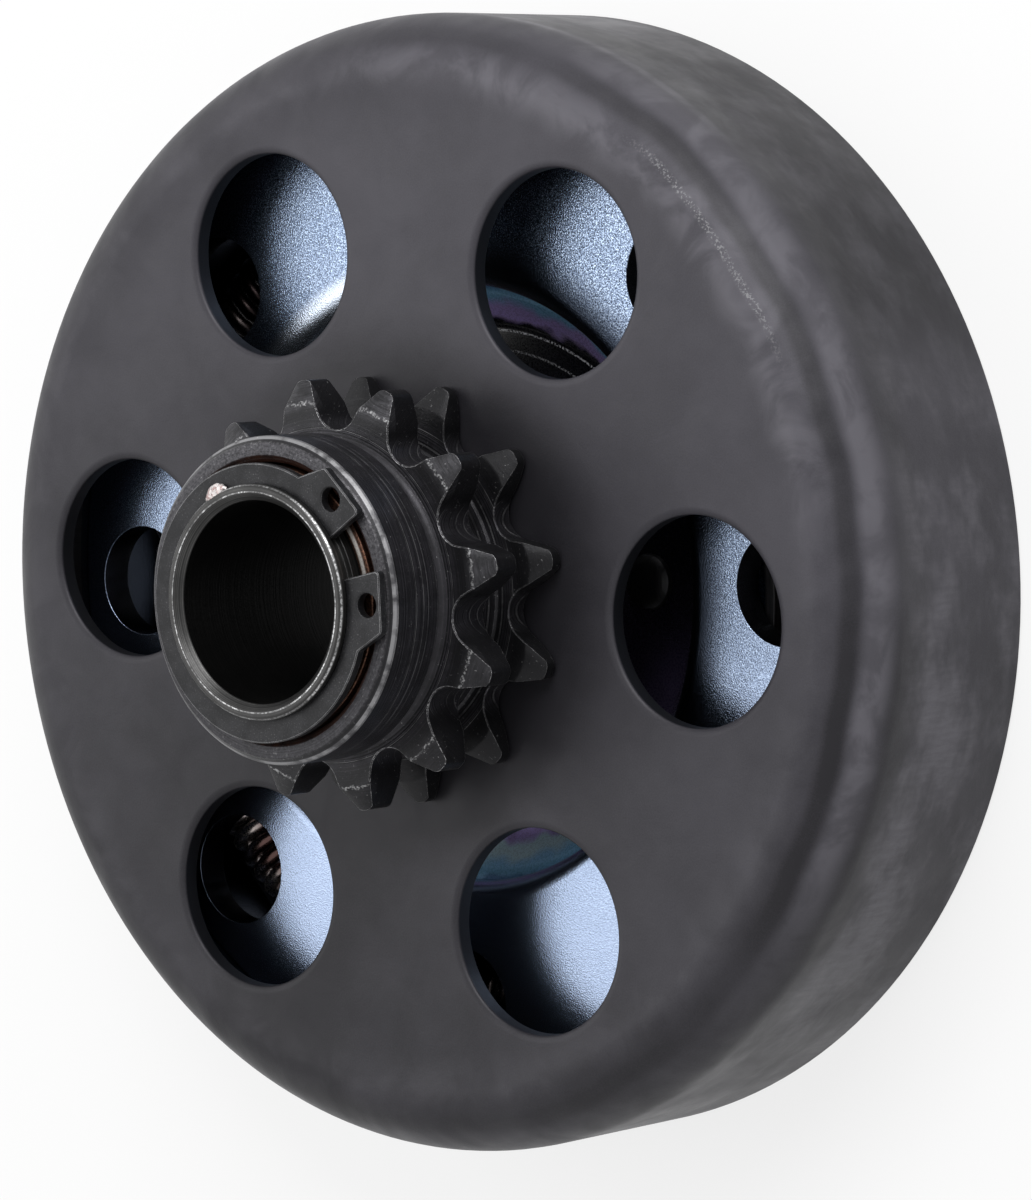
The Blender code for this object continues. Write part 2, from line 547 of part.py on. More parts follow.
def build_spider(parent, material, holes):
    """Flat disc with two lugs that stand between the shoes' ends and drive them."""
    section = [(HUB_SEAT_RADIUS, SPIDER_REAR_Z), (PLATE_RADIUS, SPIDER_REAR_Z),
               (PLATE_RADIUS, SPIDER_FRONT_Z), (HUB_SEAT_RADIUS, SPIDER_FRONT_Z)]
    spider = add_object("driver_spider", turned(section, TURNED_STEPS), parent, material)
    lugs = lug_blocks(LUG_INNER_RADIUS, LUG_OUTER_RADIUS, LUG_WIDTH / 2,
                      SHOE_REAR_Z + LUG_SETBACK, SHOE_FRONT_Z - LUG_SETBACK)
    combine(spider, add_cutter("join_lugs", lugs, parent), "UNION")
    combine(spider, holes)


def build_rivets(parent, material):
    """Round-headed rivets through the plate and the spider."""
    shank = RIVET_SHANK / 2
    head = RIVET_HEAD / 2
    front = DISH_FRONT_Z + SEAT_GAP
    rear = SPIDER_REAR_Z - SEAT_GAP
    for index, (x, y) in enumerate(ring_places(RIVET_COUNT, RIVET_CIRCLE_RADIUS, 180 / RIVET_COUNT)):
        half = [(shank, front), (head, front), (head * 0.95, front + RIVET_HEAD_HEIGHT / 2),
                (head * 0.6, front + RIVET_HEAD_HEIGHT), (0.0, front + RIVET_HEAD_HEIGHT)]
        section = mirrored(half, (front + rear) / 2) + half
        rivet = add_object("driver_rivet_%d" % (index + 1), turned(section, RIVET_STEPS), parent, material)
        rivet.location = (x, y, 0)


def main():
    clear_scene()
    drum_steel = make_material("blackened_drum_steel", (0.075, 0.075, 0.085), 0.42, 0.6)
    tooth_steel = make_material("blackened_tooth_steel", (0.05, 0.05, 0.055), 0.38, 0.7)
    ring_steel = make_material("spring_steel", (0.09, 0.09, 0.10), 0.35, 0.8)
    hub_steel = make_material("hub_steel", (0.10, 0.10, 0.11), 0.35, 0.85)
    bronze = make_material("bronze", (0.35, 0.17, 0.08), 0.45, 0.9)
    shoe_steel = make_material("grey_shoe_steel", (0.45, 0.50, 0.58), 0.35, 0.9)
    blued_steel = make_material("blued_steel", (0.20, 0.26, 0.42), 0.25, 1.0)
    wire = make_material("spring_wire", (0.12, 0.09, 0.08), 0.35, 0.9)
    rivet_steel = make_material("rivet_steel", (0.30, 0.30, 0.31), 0.4, 0.9)

    clutch = make_empty("clutch_axis")
    drum = make_empty("drum_axis", clutch)
    build_drum_cup(drum, drum_steel)
    build_sprocket(drum, tooth_steel)
    build_bronze_bush(drum, bronze)

    driver = make_empty("driver_axis", clutch)
    build_driver_hub(driver, hub_steel)
    build_retaining_ring(driver, ring_steel)
    build_thrust_washer(driver, hub_steel)
    build_garter_spring(driver, wire)
    plates = make_empty("plate_axis", driver, LUG_DIRECTION)
    holes = rivet_holes(plates)
    build_front_plate(plates, blued_steel, holes)
    build_spider(plates, hub_steel, holes)
    build_rivets(plates, rivet_steel)

    for letter, direction in SHOE_DIRECTIONS.items():
        slide = make_empty("shoe_slide_" + letter, driver, direction)
        build_shoe(letter, slide, shoe_steel, hub_steel)


main()
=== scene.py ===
"""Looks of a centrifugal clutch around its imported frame.

The drum, the double-row sprocket, the crankshaft hub with its retaining ring, the shoes with their
garter spring and the riveted driver are modelled anew in fine detail, each on the body it moves
with. Sizes are in millimetres and become metres where a mesh is made.
"""

import logging
import math
from collections.abc import Callable
from dataclasses import dataclass
from enum import Enum

import bmesh
import bpy
from mathutils import Matrix, Vector


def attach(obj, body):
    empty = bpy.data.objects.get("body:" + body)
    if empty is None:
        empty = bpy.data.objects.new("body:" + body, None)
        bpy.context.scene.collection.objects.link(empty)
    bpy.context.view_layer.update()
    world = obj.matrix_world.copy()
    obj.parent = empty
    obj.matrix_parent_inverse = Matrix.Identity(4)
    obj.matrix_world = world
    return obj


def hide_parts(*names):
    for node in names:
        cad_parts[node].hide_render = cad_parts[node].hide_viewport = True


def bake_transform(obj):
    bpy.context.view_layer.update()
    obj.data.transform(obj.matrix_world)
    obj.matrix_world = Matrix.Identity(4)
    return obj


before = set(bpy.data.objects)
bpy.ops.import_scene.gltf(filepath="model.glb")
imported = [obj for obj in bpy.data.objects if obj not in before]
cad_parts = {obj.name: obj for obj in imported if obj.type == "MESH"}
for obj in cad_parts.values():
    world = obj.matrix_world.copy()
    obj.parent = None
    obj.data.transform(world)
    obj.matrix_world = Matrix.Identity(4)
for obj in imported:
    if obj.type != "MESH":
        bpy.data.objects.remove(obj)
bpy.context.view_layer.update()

LOG = logging.getLogger("clutch")
MM = 0.001

Point = tuple[float, float]
Corner = tuple[float, float, float]
Colour = tuple[float, float, float]
Socket = bpy.types.NodeSocket
Shape = bmesh.types.BMesh


class Body(Enum):
    """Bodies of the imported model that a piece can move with."""

    DRIVER = "driver"
    DRUM = "drum"
    SHOE_A = "shoe_a"
    SHOE_B = "shoe_b"


class Slot(Enum):
    """Names of the material slots."""

    DRUM = "drum_steel"
    TOOTH = "tooth_steel"
    RING = "ring_steel"
    HUB = "hub_steel"
    BRONZE = "bronze"
    SHOE = "shoe_steel"
    BLUED = "blued_steel"
    WIRE = "spring_wire"
    RIVET = "rivet_steel"


# Shapes

def polar(radius: float, degrees: float) -> Point:
    """Point at a radius and an angle from +X."""
    return radius * math.cos(math.radians(degrees)), radius * math.sin(math.radians(degrees))


def arc(centre: Point, radius: float, start: float, end: float, steps: int) -> list[Point]:
    """Points along an arc, both ends included.

    Args:
        centre: centre of the arc.
        radius: its radius.
        start: first angle in degrees.
        end: last angle in degrees.
        steps: number of equal steps between the two.

    Returns:
        The points in order from start to end.
    """
    turns = [start + (end - start) * step / steps for step in range(steps + 1)]
    return [(centre[0] + x, centre[1] + y) for x, y in (polar(radius, turn) for turn in turns)]


def rounded(corners: list[Corner], step: float = 15.0) -> list[Point]:
    """Closed outline whose corners are rounded off.

    Args:
        corners: corners in order, each with its x, its y and the radius of its rounding.
        step: angle between neighbouring points of a rounding, in degrees.

    Returns:
        The outline's points in the same order.
    """
    outline: list[Point] = []
    for index, (x, y, radius) in enumerate(corners):
        here = Vector((x, y))
        if radius <= 0.0:
            outline.append((x, y))
            continue
        before = (Vector(corners[index - 1][:2]) - here).normalized()
        after = (Vector(corners[(index + 1) % len(corners)][:2]) - here).normalized()
        half = before.angle(after) / 2
        centre = here + (before + after).normalized() * radius / math.sin(half)
        first = here + before * radius / math.tan(half) - centre
        last = here + after * radius / math.tan(half) - centre
        start = math.degrees(math.atan2(first.y, first.x))
        sweep = (math.degrees(math.atan2(last.y, last.x)) - start + 180) % 360 - 180
        steps = max(1, round(abs(sweep) / step))
        outline += arc((centre.x, centre.y), radius, start, start + sweep, steps)
    return outline


def slab(inner: float, outer: float, low: float, high: float) -> list[Point]:
    """Section of a flat ring between two radii and two levels, with broken corners.

    Args:
        inner: inner radius.
        outer: outer radius.
        low: level of the rear face.
        high: level of the front face.

    Returns:
        The section's (radius, height) points.
    """
    edge = 0.15
    return rounded([(inner, low, edge), (outer, low, edge), (outer, high, edge),
                    (inner, high, edge)])


def turned(section: list[Point], steps: int, start: float = 0.0, sweep: float = 360.0) -> Shape:
    """Spin a closed section round the axis.

    Args:
        section: (radius, height) points of the section.
        steps: facets along the sweep.
        start: angle at which the section begins, in degrees.
        sweep: angle that it is carried through, in degrees.

    Returns:
        The spun shape, open at both ends when the sweep is less than a full turn.
    """
    shape = bmesh.new()
    corners = [shape.verts.new((radius * MM, 0.0, z * MM)) for radius, z in section]
    edges = [shape.edges.new((corners[i - 1], corners[i])) for i in range(len(corners))]
    bmesh.ops.rotate(shape, verts=corners, matrix=Matrix.Rotation(math.radians(start), 3, "Z"))
    bmesh.ops.spin(shape, geom=corners + edges, cent=(0, 0, 0), axis=(0, 0, 1), dvec=(0, 0, 0),
                   angle=math.radians(sweep), steps=steps, use_merge=sweep == 360.0)
    return shape


def half_ring(section: list[Point], steps: int, setback: float) -> Shape:
    """Half a turn of a section about +X, cut square at both ends.

    Args:
        section: (radius, height) points of the section.
        steps: facets along the half turn.
        setback: distance of the square ends from the axis.

    Returns:
        The closed shape.
    """
    shape = turned(section, steps, start=-90.0, sweep=180.0)
    everything = shape.verts[:] + shape.edges[:] + shape.faces[:]
    bmesh.ops.bisect_plane(shape, geom=everything, plane_co=(setback * MM, 0, 0),
                           plane_no=(1, 0, 0), clear_inner=True)
    bmesh.ops.holes_fill(shape, edges=shape.edges, sides=0)
    return shape


def prism(outline: list[Point], low: float, high: float, edge: float) -> Shape:
    """Flat plate of any outline with a small chamfer round both faces.

    Args:
        outline: (x, y) points of the plate.
        low: height of its rear face.
        high: height of its front face.
        edge: width of the chamfers.

    Returns:
        The closed shape.
    """
    shape = bmesh.new()
    corners = [shape.verts.new((x * MM, y * MM, (low + edge) * MM)) for x, y in outline]
    rear = shape.faces.new(corners)
    grown = bmesh.ops.extrude_face_region(shape, geom=[rear], use_keep_orig=True)["geom"]
    moved = [part for part in grown if isinstance(part, bmesh.types.BMVert)]
    front = next(part for part in grown if isinstance(part, bmesh.types.BMFace))
    bmesh.ops.translate(shape, verts=moved, vec=(0, 0, (high - low - 2 * edge) * MM))
    bmesh.ops.recalc_face_normals(shape, faces=shape.faces)
    for face, rise in ((front, edge), (rear, -edge)):
        bmesh.ops.inset_region(shape, faces=[face], thickness=edge * MM, use_even_offset=True)
        bmesh.ops.translate(shape, verts=face.verts[:], vec=(0, 0, rise * MM))
    return shape


def lofted(levels: list[list[Corner]]) -> Shape:
    """Carry a closed loop of points through every level and back to the first.

    Args:
        levels: loops with the same number of points, each an (x, y, height) list.

    Returns:
        The closed shape.
    """
    shape = bmesh.new()
    row = [shape.verts.new([value * MM for value in point]) for point in levels[0]]
    edges = [shape.edges.new((row[index - 1], row[index])) for index in range(len(row))]
    for level in levels[1:] + levels[:1]:
        grown = bmesh.ops.extrude_edge_only(shape, edges=edges)["geom"]
        fresh = {part for part in grown if isinstance(part, bmesh.types.BMVert)}
        row = [next(edge.other_vert(vert) for edge in vert.link_edges
                    if edge.other_vert(vert) in fresh) for vert in row]
        for vert, point in zip(row, level):
            vert.co = [value * MM for value in point]
        edges = [part for part in grown if isinstance(part, bmesh.types.BMEdge)
                 and all(vert in fresh for vert in part.verts)]
    return shape


def ring_of(shape: Shape, centre: Point, radius: float, height: float,
            sides: int) -> list[bmesh.types.BMEdge]:
    """Add a bare circle to a shape and return its edges.

    Args:
        shape: shape that the circle joins.
        centre: place of its middle.
        radius: radius of the circle.
        height: its level.
        sides: number of its edges.

    Returns:
        The circle's edges.
    """
    place = Matrix.Translation((centre[0] * MM, centre[1] * MM, height * MM))
    made = bmesh.ops.create_circle(shape, segments=sides, radius=radius * MM, matrix=place)
    return list({edge for vert in made["verts"] for edge in vert.link_edges})


@dataclass(frozen=True)
class Hole:
    """A round hole through a flat wall. Its rims roll in over a width and half that depth."""

    centre: Point
    radius: float
    front_rim: float
    rear_rim: float
    sides: int = 96

    def levels(self, front: float, rear: float) -> list[Point]:
        """Radius and height of the hole's wall from the front face to the rear one.

        Args:
            front: height of the wall's front face.
            rear: height of its rear face.

        Returns:
            (radius, height) pairs in order.
        """
        front_arc = [(self.radius + self.front_rim * (1 - x), front - self.front_rim / 2 * (1 - y))
                     for x, y in arc((0.0, 0.0), 1.0, 90, 0, 6)]
        rear_arc = [(self.radius + self.rear_rim * (1 - x), rear + self.rear_rim / 2 * (1 - y))
                    for x, y in arc((0.0, 0.0), 1.0, 0, 90, 3)]
        return front_arc + rear_arc


def pierce(shape: Shape, front: float, rear: float, holes: list[Hole]) -> None:
    """Open round holes with rounded rims in the flat wall between two levels.

    Args:
        shape: shape whose faces at the two levels are refilled around the holes.
        front: height of the wall's front face.
        rear: height of its rear face.
        holes: holes to open.
    """
    rims: dict[float, list[bmesh.types.BMEdge]] = {front: [], rear: []}
    for level in (front, rear):
        flat = [face for face in shape.faces
                if all(abs(vert.co.z - level * MM) < 1e-7 for vert in face.verts)]
        inner = {edge for face in flat for edge in face.edges
                 if all(other in flat for other in edge.link_faces)}
        outer = {edge for face in flat for edge in face.edges} - inner
        bmesh.ops.delete(shape, geom=flat, context="FACES_ONLY")
        bmesh.ops.delete(shape, geom=list(inner), context="EDGES")
        rims[level] += [edge for edge in outer if edge.is_valid]
    for hole in holes:
        rings = [ring_of(shape, hole.centre, radius, height, hole.sides)
                 for radius, height in hole.levels(front, rear)]
        for ring, following in zip(rings, rings[1:]):
            bmesh.ops.bridge_loops(shape, edges=ring + following)
        rims[front] += rings[0]
        rims[rear] += rings[-1]
    for edges in rims.values():
        bmesh.ops.triangle_fill(shape, edges=edges, use_beauty=True, use_dissolve=False)


def bored(pairs: list[Point], radius: float, low: float, high: float, sides: int = 48) -> Shape:
    """Cylinders along the axis at the given places, to cut with.

    Args:
        pairs: places of the cylinders' axes.
        radius: radius of each.
        low: height of the lower ends.
        high: height of the upper ends.
        sides: facets round each.

    Returns:
        The cylinders as one shape.
    """
    shape = bmesh.new()
    for x, y in pairs:
        place = Matrix.Translation((x * MM, y * MM, (low + high) / 2 * MM))
        bmesh.ops.create_cone(shape, cap_ends=True, segments=sides, radius1=radius * MM,
                              radius2=radius * MM, depth=(high - low) * MM, matrix=place)
    return shape


def block(low: Corner, high: Corner, degrees: float) -> Shape:
    """Box between two corners, turned about the axis, to cut or join with.

    Args:
        low: corner with the smallest values.
        high: corner with the largest values.
        degrees: angle that the box is turned by.

    Returns:
        The box.
    """
    shape = bmesh.new()
    size = Vector(high) - Vector(low)
    place = (Matrix.Rotation(math.radians(degrees), 4, "Z")
             @ Matrix.Translation((Vector(high) + Vector(low)) / 2 * MM)
             @ Matrix.Diagonal((*(size * MM), 1.0)))
    bmesh.ops.create_cube(shape, size=1.0, matrix=place)
    return shape


def plain_object(name: str, shape: Shape) -> bpy.types.Object:
    """Turn a shape into an object of the scene, its seams closed and its faces outward.

    Args:
        name: name of the object.
        shape: shape that it takes, freed afterwards.

    Returns:
        The object, without a material.
    """
    bmesh.ops.remove_doubles(shape, verts=shape.verts, dist=0.0005 * MM)
    bmesh.ops.recalc_face_normals(shape, faces=shape.faces)
    mesh = bpy.data.meshes.new(name)
    shape.to_mesh(mesh)
    shape.free()
    item = bpy.data.objects.new(name, mesh)
    bpy.context.scene.collection.objects.link(item)
    return item


def combined(piece: bpy.types.Object, shape: Shape, operation: str = "DIFFERENCE") -> None:
    """Cut or join a shape with a piece and keep the result as the piece's own mesh.

    Args:
        piece: object that is changed.
        shape: shape to cut away or to join.
        operation: the Boolean operation.
    """
    tool = plain_object("tool", shape)
    modifier = piece.modifiers.new("combine", "BOOLEAN")
    modifier.operation = operation
    modifier.solver = "EXACT"
    modifier.object = tool
    result = bpy.data.meshes.new_from_object(
        piece.evaluated_get(bpy.context.evaluated_depsgraph_get()))
    piece.modifiers.clear()
    piece.data = result
    bpy.data.objects.remove(tool)


def rotate(shape: Shape, degrees: float) -> Shape:
    """Turn a whole shape about the axis."""
    bmesh.ops.rotate(shape, verts=shape.verts, matrix=Matrix.Rotation(math.radians(degrees), 3, "Z"))
    return shape


def report(piece: bpy.types.Object) -> None:
    """Log a piece's name and size."""
    LOG.info("%-22s %7d faces, %s mm", piece.name, len(piece.data.polygons),
             " x ".join("%.1f" % (side / MM) for side in piece.dimensions))


def dress(piece: bpy.types.Object, material: bpy.types.Material, slot: Slot,
          nodes: tuple[str, ...] = (), body: Body | None = None, sharp: float = 35.0,
          flat_faces: bool = True) -> bpy.types.Object:
    """Give a piece its finish, its smooth shading and its place in the frame.

    Args:
        piece: object whose shape is ready.
        material: its finish.
        slot: slot that the finish belongs to; not used.
        nodes: CAD nodes that the piece stands for.
        body: body that it moves with, or None where it bends between two.
        sharp: angle from which an edge stays sharp, in degrees.
        flat_faces: whether large flat faces decide the shading next to them.

    Returns:
        The same object.
    """
    piece.data.materials.clear()
    piece.data.materials.append(material)
    piece.data.shade_smooth()
    piece.data.set_sharp_from_angle(angle=math.radians(sharp))
    if flat_faces:
        modifier = piece.modifiers.new("weighted_normals", "WEIGHTED_NORMAL")
        modifier.keep_sharp = True
        modifier.mode = "FACE_AREA"
    if nodes:
        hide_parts(*nodes)
    if body is not None:
        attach(piece, body.value)
    report(piece)
    return piece


# Finishes

class Recipe:
    """A material's node tree, with a short call for each kind of node that the finishes share."""

    def __init__(self, name: str) -> None:
        """Start a material and the position inputs that its patterns read.

        Args:
            name: name of the material.
        """
        self.material = bpy.data.materials.new(name)
        self.material.use_nodes = True
        self.tree = self.material.node_tree
        self.shader = self.tree.nodes["Principled BSDF"]
        position = self.add("ShaderNodeTexCoord").outputs["Object"]
        scale = self.add("ShaderNodeVectorMath", operation="SCALE")
        self.feed(scale.inputs[0], position)
        scale.inputs["Scale"].default_value = 1.0 / MM
        self.point = scale.outputs[0]
        parts = self.add("ShaderNodeSeparateXYZ")
        self.feed(parts.inputs[0], self.point)
        self.x, self.y, self.height = parts.outputs
        self.radius = self.maths(
            "SQRT", self.plus(self.times(self.x, self.x), self.times(self.y, self.y)))
        self.around_x = self.maths("DIVIDE", self.x, self.radius)
        self.around_y = self.maths("DIVIDE", self.y, self.radius)

    def add(self, kind: str, **settings: object) -> bpy.types.Node:
        """Add a node and set its options.

        Args:
            kind: Blender's name of the node's type.
            settings: options to set on it.

        Returns:
            The node.
        """
        node = self.tree.nodes.new(kind)
        for key, value in settings.items():
            setattr(node, key, value)
        return node

    def feed(self, socket: Socket, value: object) -> None:
        """Link a socket to another, or give it a plain value.

        Args:
            socket: input to feed.
            value: an output to link, a colour or a number.
        """
        if isinstance(value, bpy.types.NodeSocket):
            self.tree.links.new(value, socket)
        elif isinstance(value, tuple) and len(value) == 3 and socket.type == "RGBA":
            socket.default_value = (*value, 1.0)
        else:
            socket.default_value = value

    def maths(self, operation: str, *values: object) -> Socket:
        """A Math node's result.

        Args:
            operation: what the node works out.
            values: its inputs in order.

        Returns:
            The result.
        """
        node = self.add("ShaderNodeMath", operation=operation)
        for socket, value in zip(node.inputs, values):
            self.feed(socket, value)
        return node.outputs[0]

    def vector(self, x: object, y: object, z: object) -> Socket:
        """A vector from three values.

        Args:
            x: first value.
            y: second value.
            z: third value.

        Returns:
            The vector.
        """
        node = self.add("ShaderNodeCombineXYZ")
        for socket, value in zip(node.inputs, (x, y, z)):
            self.feed(socket, value)
        return node.outputs[0]

    def around(self, across: float, along: object) -> Socket:
        """Coordinates that run round the axis without a seam and along another value."""
        return self.vector(self.times(self.around_x, across), self.times(self.around_y, across),
                           along)

    def noise(self, place: object, scale: float, detail: float = 3.0, rough: float = 0.55,
              distortion: float = 0.0) -> Socket:
        """Cloudy noise over a vector, from 0 to 1.

        Args:
            place: vector that the noise runs over.
            scale: clouds in a unit of it.
            detail: number of finer layers.
            rough: strength of each finer layer.
            distortion: how far the clouds are drawn out.

        Returns:
            The noise.
        """
        node = self.add("ShaderNodeTexNoise", noise_dimensions="3D")
        self.feed(node.inputs["Vector"], place)
        node.inputs["Scale"].default_value = scale
        node.inputs["Detail"].default_value = detail
        node.inputs["Roughness"].default_value = rough
        node.inputs["Distortion"].default_value = distortion
        return node.outputs["Fac"]

    def lines(self, along: Socket, scale: float, detail: float) -> Socket:
        """Uneven parallel lines across one value, like the marks of a turning tool.

        Args:
            along: value that grows from line to line.
            scale: lines in a unit of it.
            detail: number of finer layers.

        Returns:
            The lines' height, from 0 to 1.
        """
        node = self.add("ShaderNodeTexNoise", noise_dimensions="1D")
        self.feed(node.inputs["W"], along)
        node.inputs["Scale"].default_value = scale
        node.inputs["Detail"].default_value = detail
        node.inputs["Roughness"].default_value = 0.65
        return node.outputs["Fac"]

    def span(self, value: Socket, low: float, high: float, start: float = 0.0,
             end: float = 1.0) -> Socket:
        """A value carried smoothly from one range to another and held at its ends.

        Args:
            value: value to carry over.
            low: where the range begins.
            high: where it ends.
            start: result at the beginning.
            end: result at the end.

        Returns:
            The carried value.
        """
        node = self.add("ShaderNodeMapRange", interpolation_type="SMOOTHSTEP", clamp=True)
        numbers = {"From Min": low, "From Max": high, "To Min": start, "To Max": end}
        for name, number in numbers.items():
            node.inputs[name].default_value = number
        self.feed(node.inputs["Value"], value)
        return node.outputs["Result"]

    def times(self, *values: object) -> Socket:
        """Product of several values.

        Args:
            values: outputs or numbers.

        Returns:
            Their product.
        """
        result = values[0]
        for value in values[1:]:
            result = self.maths("MULTIPLY", result, value)
        return result

    def plus(self, *values: object) -> Socket:
        """Sum of several values.

        Args:
            values: outputs or numbers.

        Returns:
            Their sum.
        """
        result = values[0]
        for value in values[1:]:
            result = self.maths("ADD", result, value)
        return result

    def band(self, value: Socket, low: float, full: float, fade: float, high: float) -> Socket:
        """Mask that rises from low to full and falls away from fade to high."""
        return self.times(self.span(value, low, full), self.span(value, high, fade))

    def tools(self) -> tuple[Callable[..., Socket], ...]:
        """The calls that the finishes use most, each under its own short name."""
        return self.span, self.band, self.times, self.plus, self.noise

    def towards(self, degrees: float) -> Socket:
        """1 in a direction from the axis, 0 square to it and -1 behind."""
        x, y = polar(1.0, degrees)
        return self.plus(self.times(self.around_x, x), self.times(self.around_y, y))

    def blend(self, factor: object, first: object, second: object) -> Socket:
        """Colour between two colours.

        Args:
            factor: share of the second colour.
            first: colour at 0.
            second: colour at 1.

        Returns:
            The colour between them.
        """
        node = self.add("ShaderNodeMix", data_type="RGBA")
        self.feed(node.inputs[0], factor)
        self.feed(node.inputs[6], first)
        self.feed(node.inputs[7], second)
        return node.outputs[2]

    def soft_normal(self, radius: float) -> Socket:
        """Surface direction with its corners rounded off by a radius.

        Args:
            radius: radius of the rounding in millimetres.

        Returns:
            The direction.
        """
        node = self.add("ShaderNodeBevel", samples=6)
        node.inputs["Radius"].default_value = radius * MM
        return node.outputs["Normal"]

    def edges(self, soft: Socket, low: float, high: float) -> Socket:
        """Mask of the corners, where the rounded direction leaves the true one.

        Args:
            soft: rounded direction.
            low: difference at which the mask begins.
            high: difference at which it is full.

        Returns:
            The mask.
        """
        node = self.add("ShaderNodeVectorMath", operation="DOT_PRODUCT")
        self.feed(node.inputs[0], soft)
        self.feed(node.inputs[1], self.add("ShaderNodeNewGeometry").outputs["Normal"])
        return self.span(self.maths("SUBTRACT", 1.0, node.outputs["Value"]), low, high)

    def bump(self, height: Socket, depth: float, normal: Socket | None = None) -> Socket:
        """Surface direction over a relief of the given depth.

        Args:
            height: relief, where 1 is as high as the depth.
            depth: depth in millimetres.
            normal: direction that the relief stands on.

        Returns:
            The direction.
        """
        node = self.add("ShaderNodeBump")
        node.inputs["Strength"].default_value = 1.0
        node.inputs["Distance"].default_value = depth * MM
        self.feed(node.inputs["Height"], height)
        if normal is not None:
            self.feed(node.inputs["Normal"], normal)
        return node.outputs["Normal"]

    def finish(self, colour: object, rough: object, metallic: object, normal: Socket,
               gloss: float = 0.5) -> bpy.types.Material:
        """Feed the shader and return the material.

        Args:
            colour: base colour.
            rough: roughness.
            metallic: metallic share.
            normal: surface direction.
            gloss: strength of the mirror-like part.

        Returns:
            The finished material.
        """
        self.shader.inputs["Specular IOR Level"].default_value = gloss
        self.feed(self.shader.inputs["Base Color"], colour)
        self.feed(self.shader.inputs["Roughness"], rough)
        self.feed(self.shader.inputs["Metallic"], metallic)
        self.feed(self.shader.inputs["Normal"], normal)
        return self.material


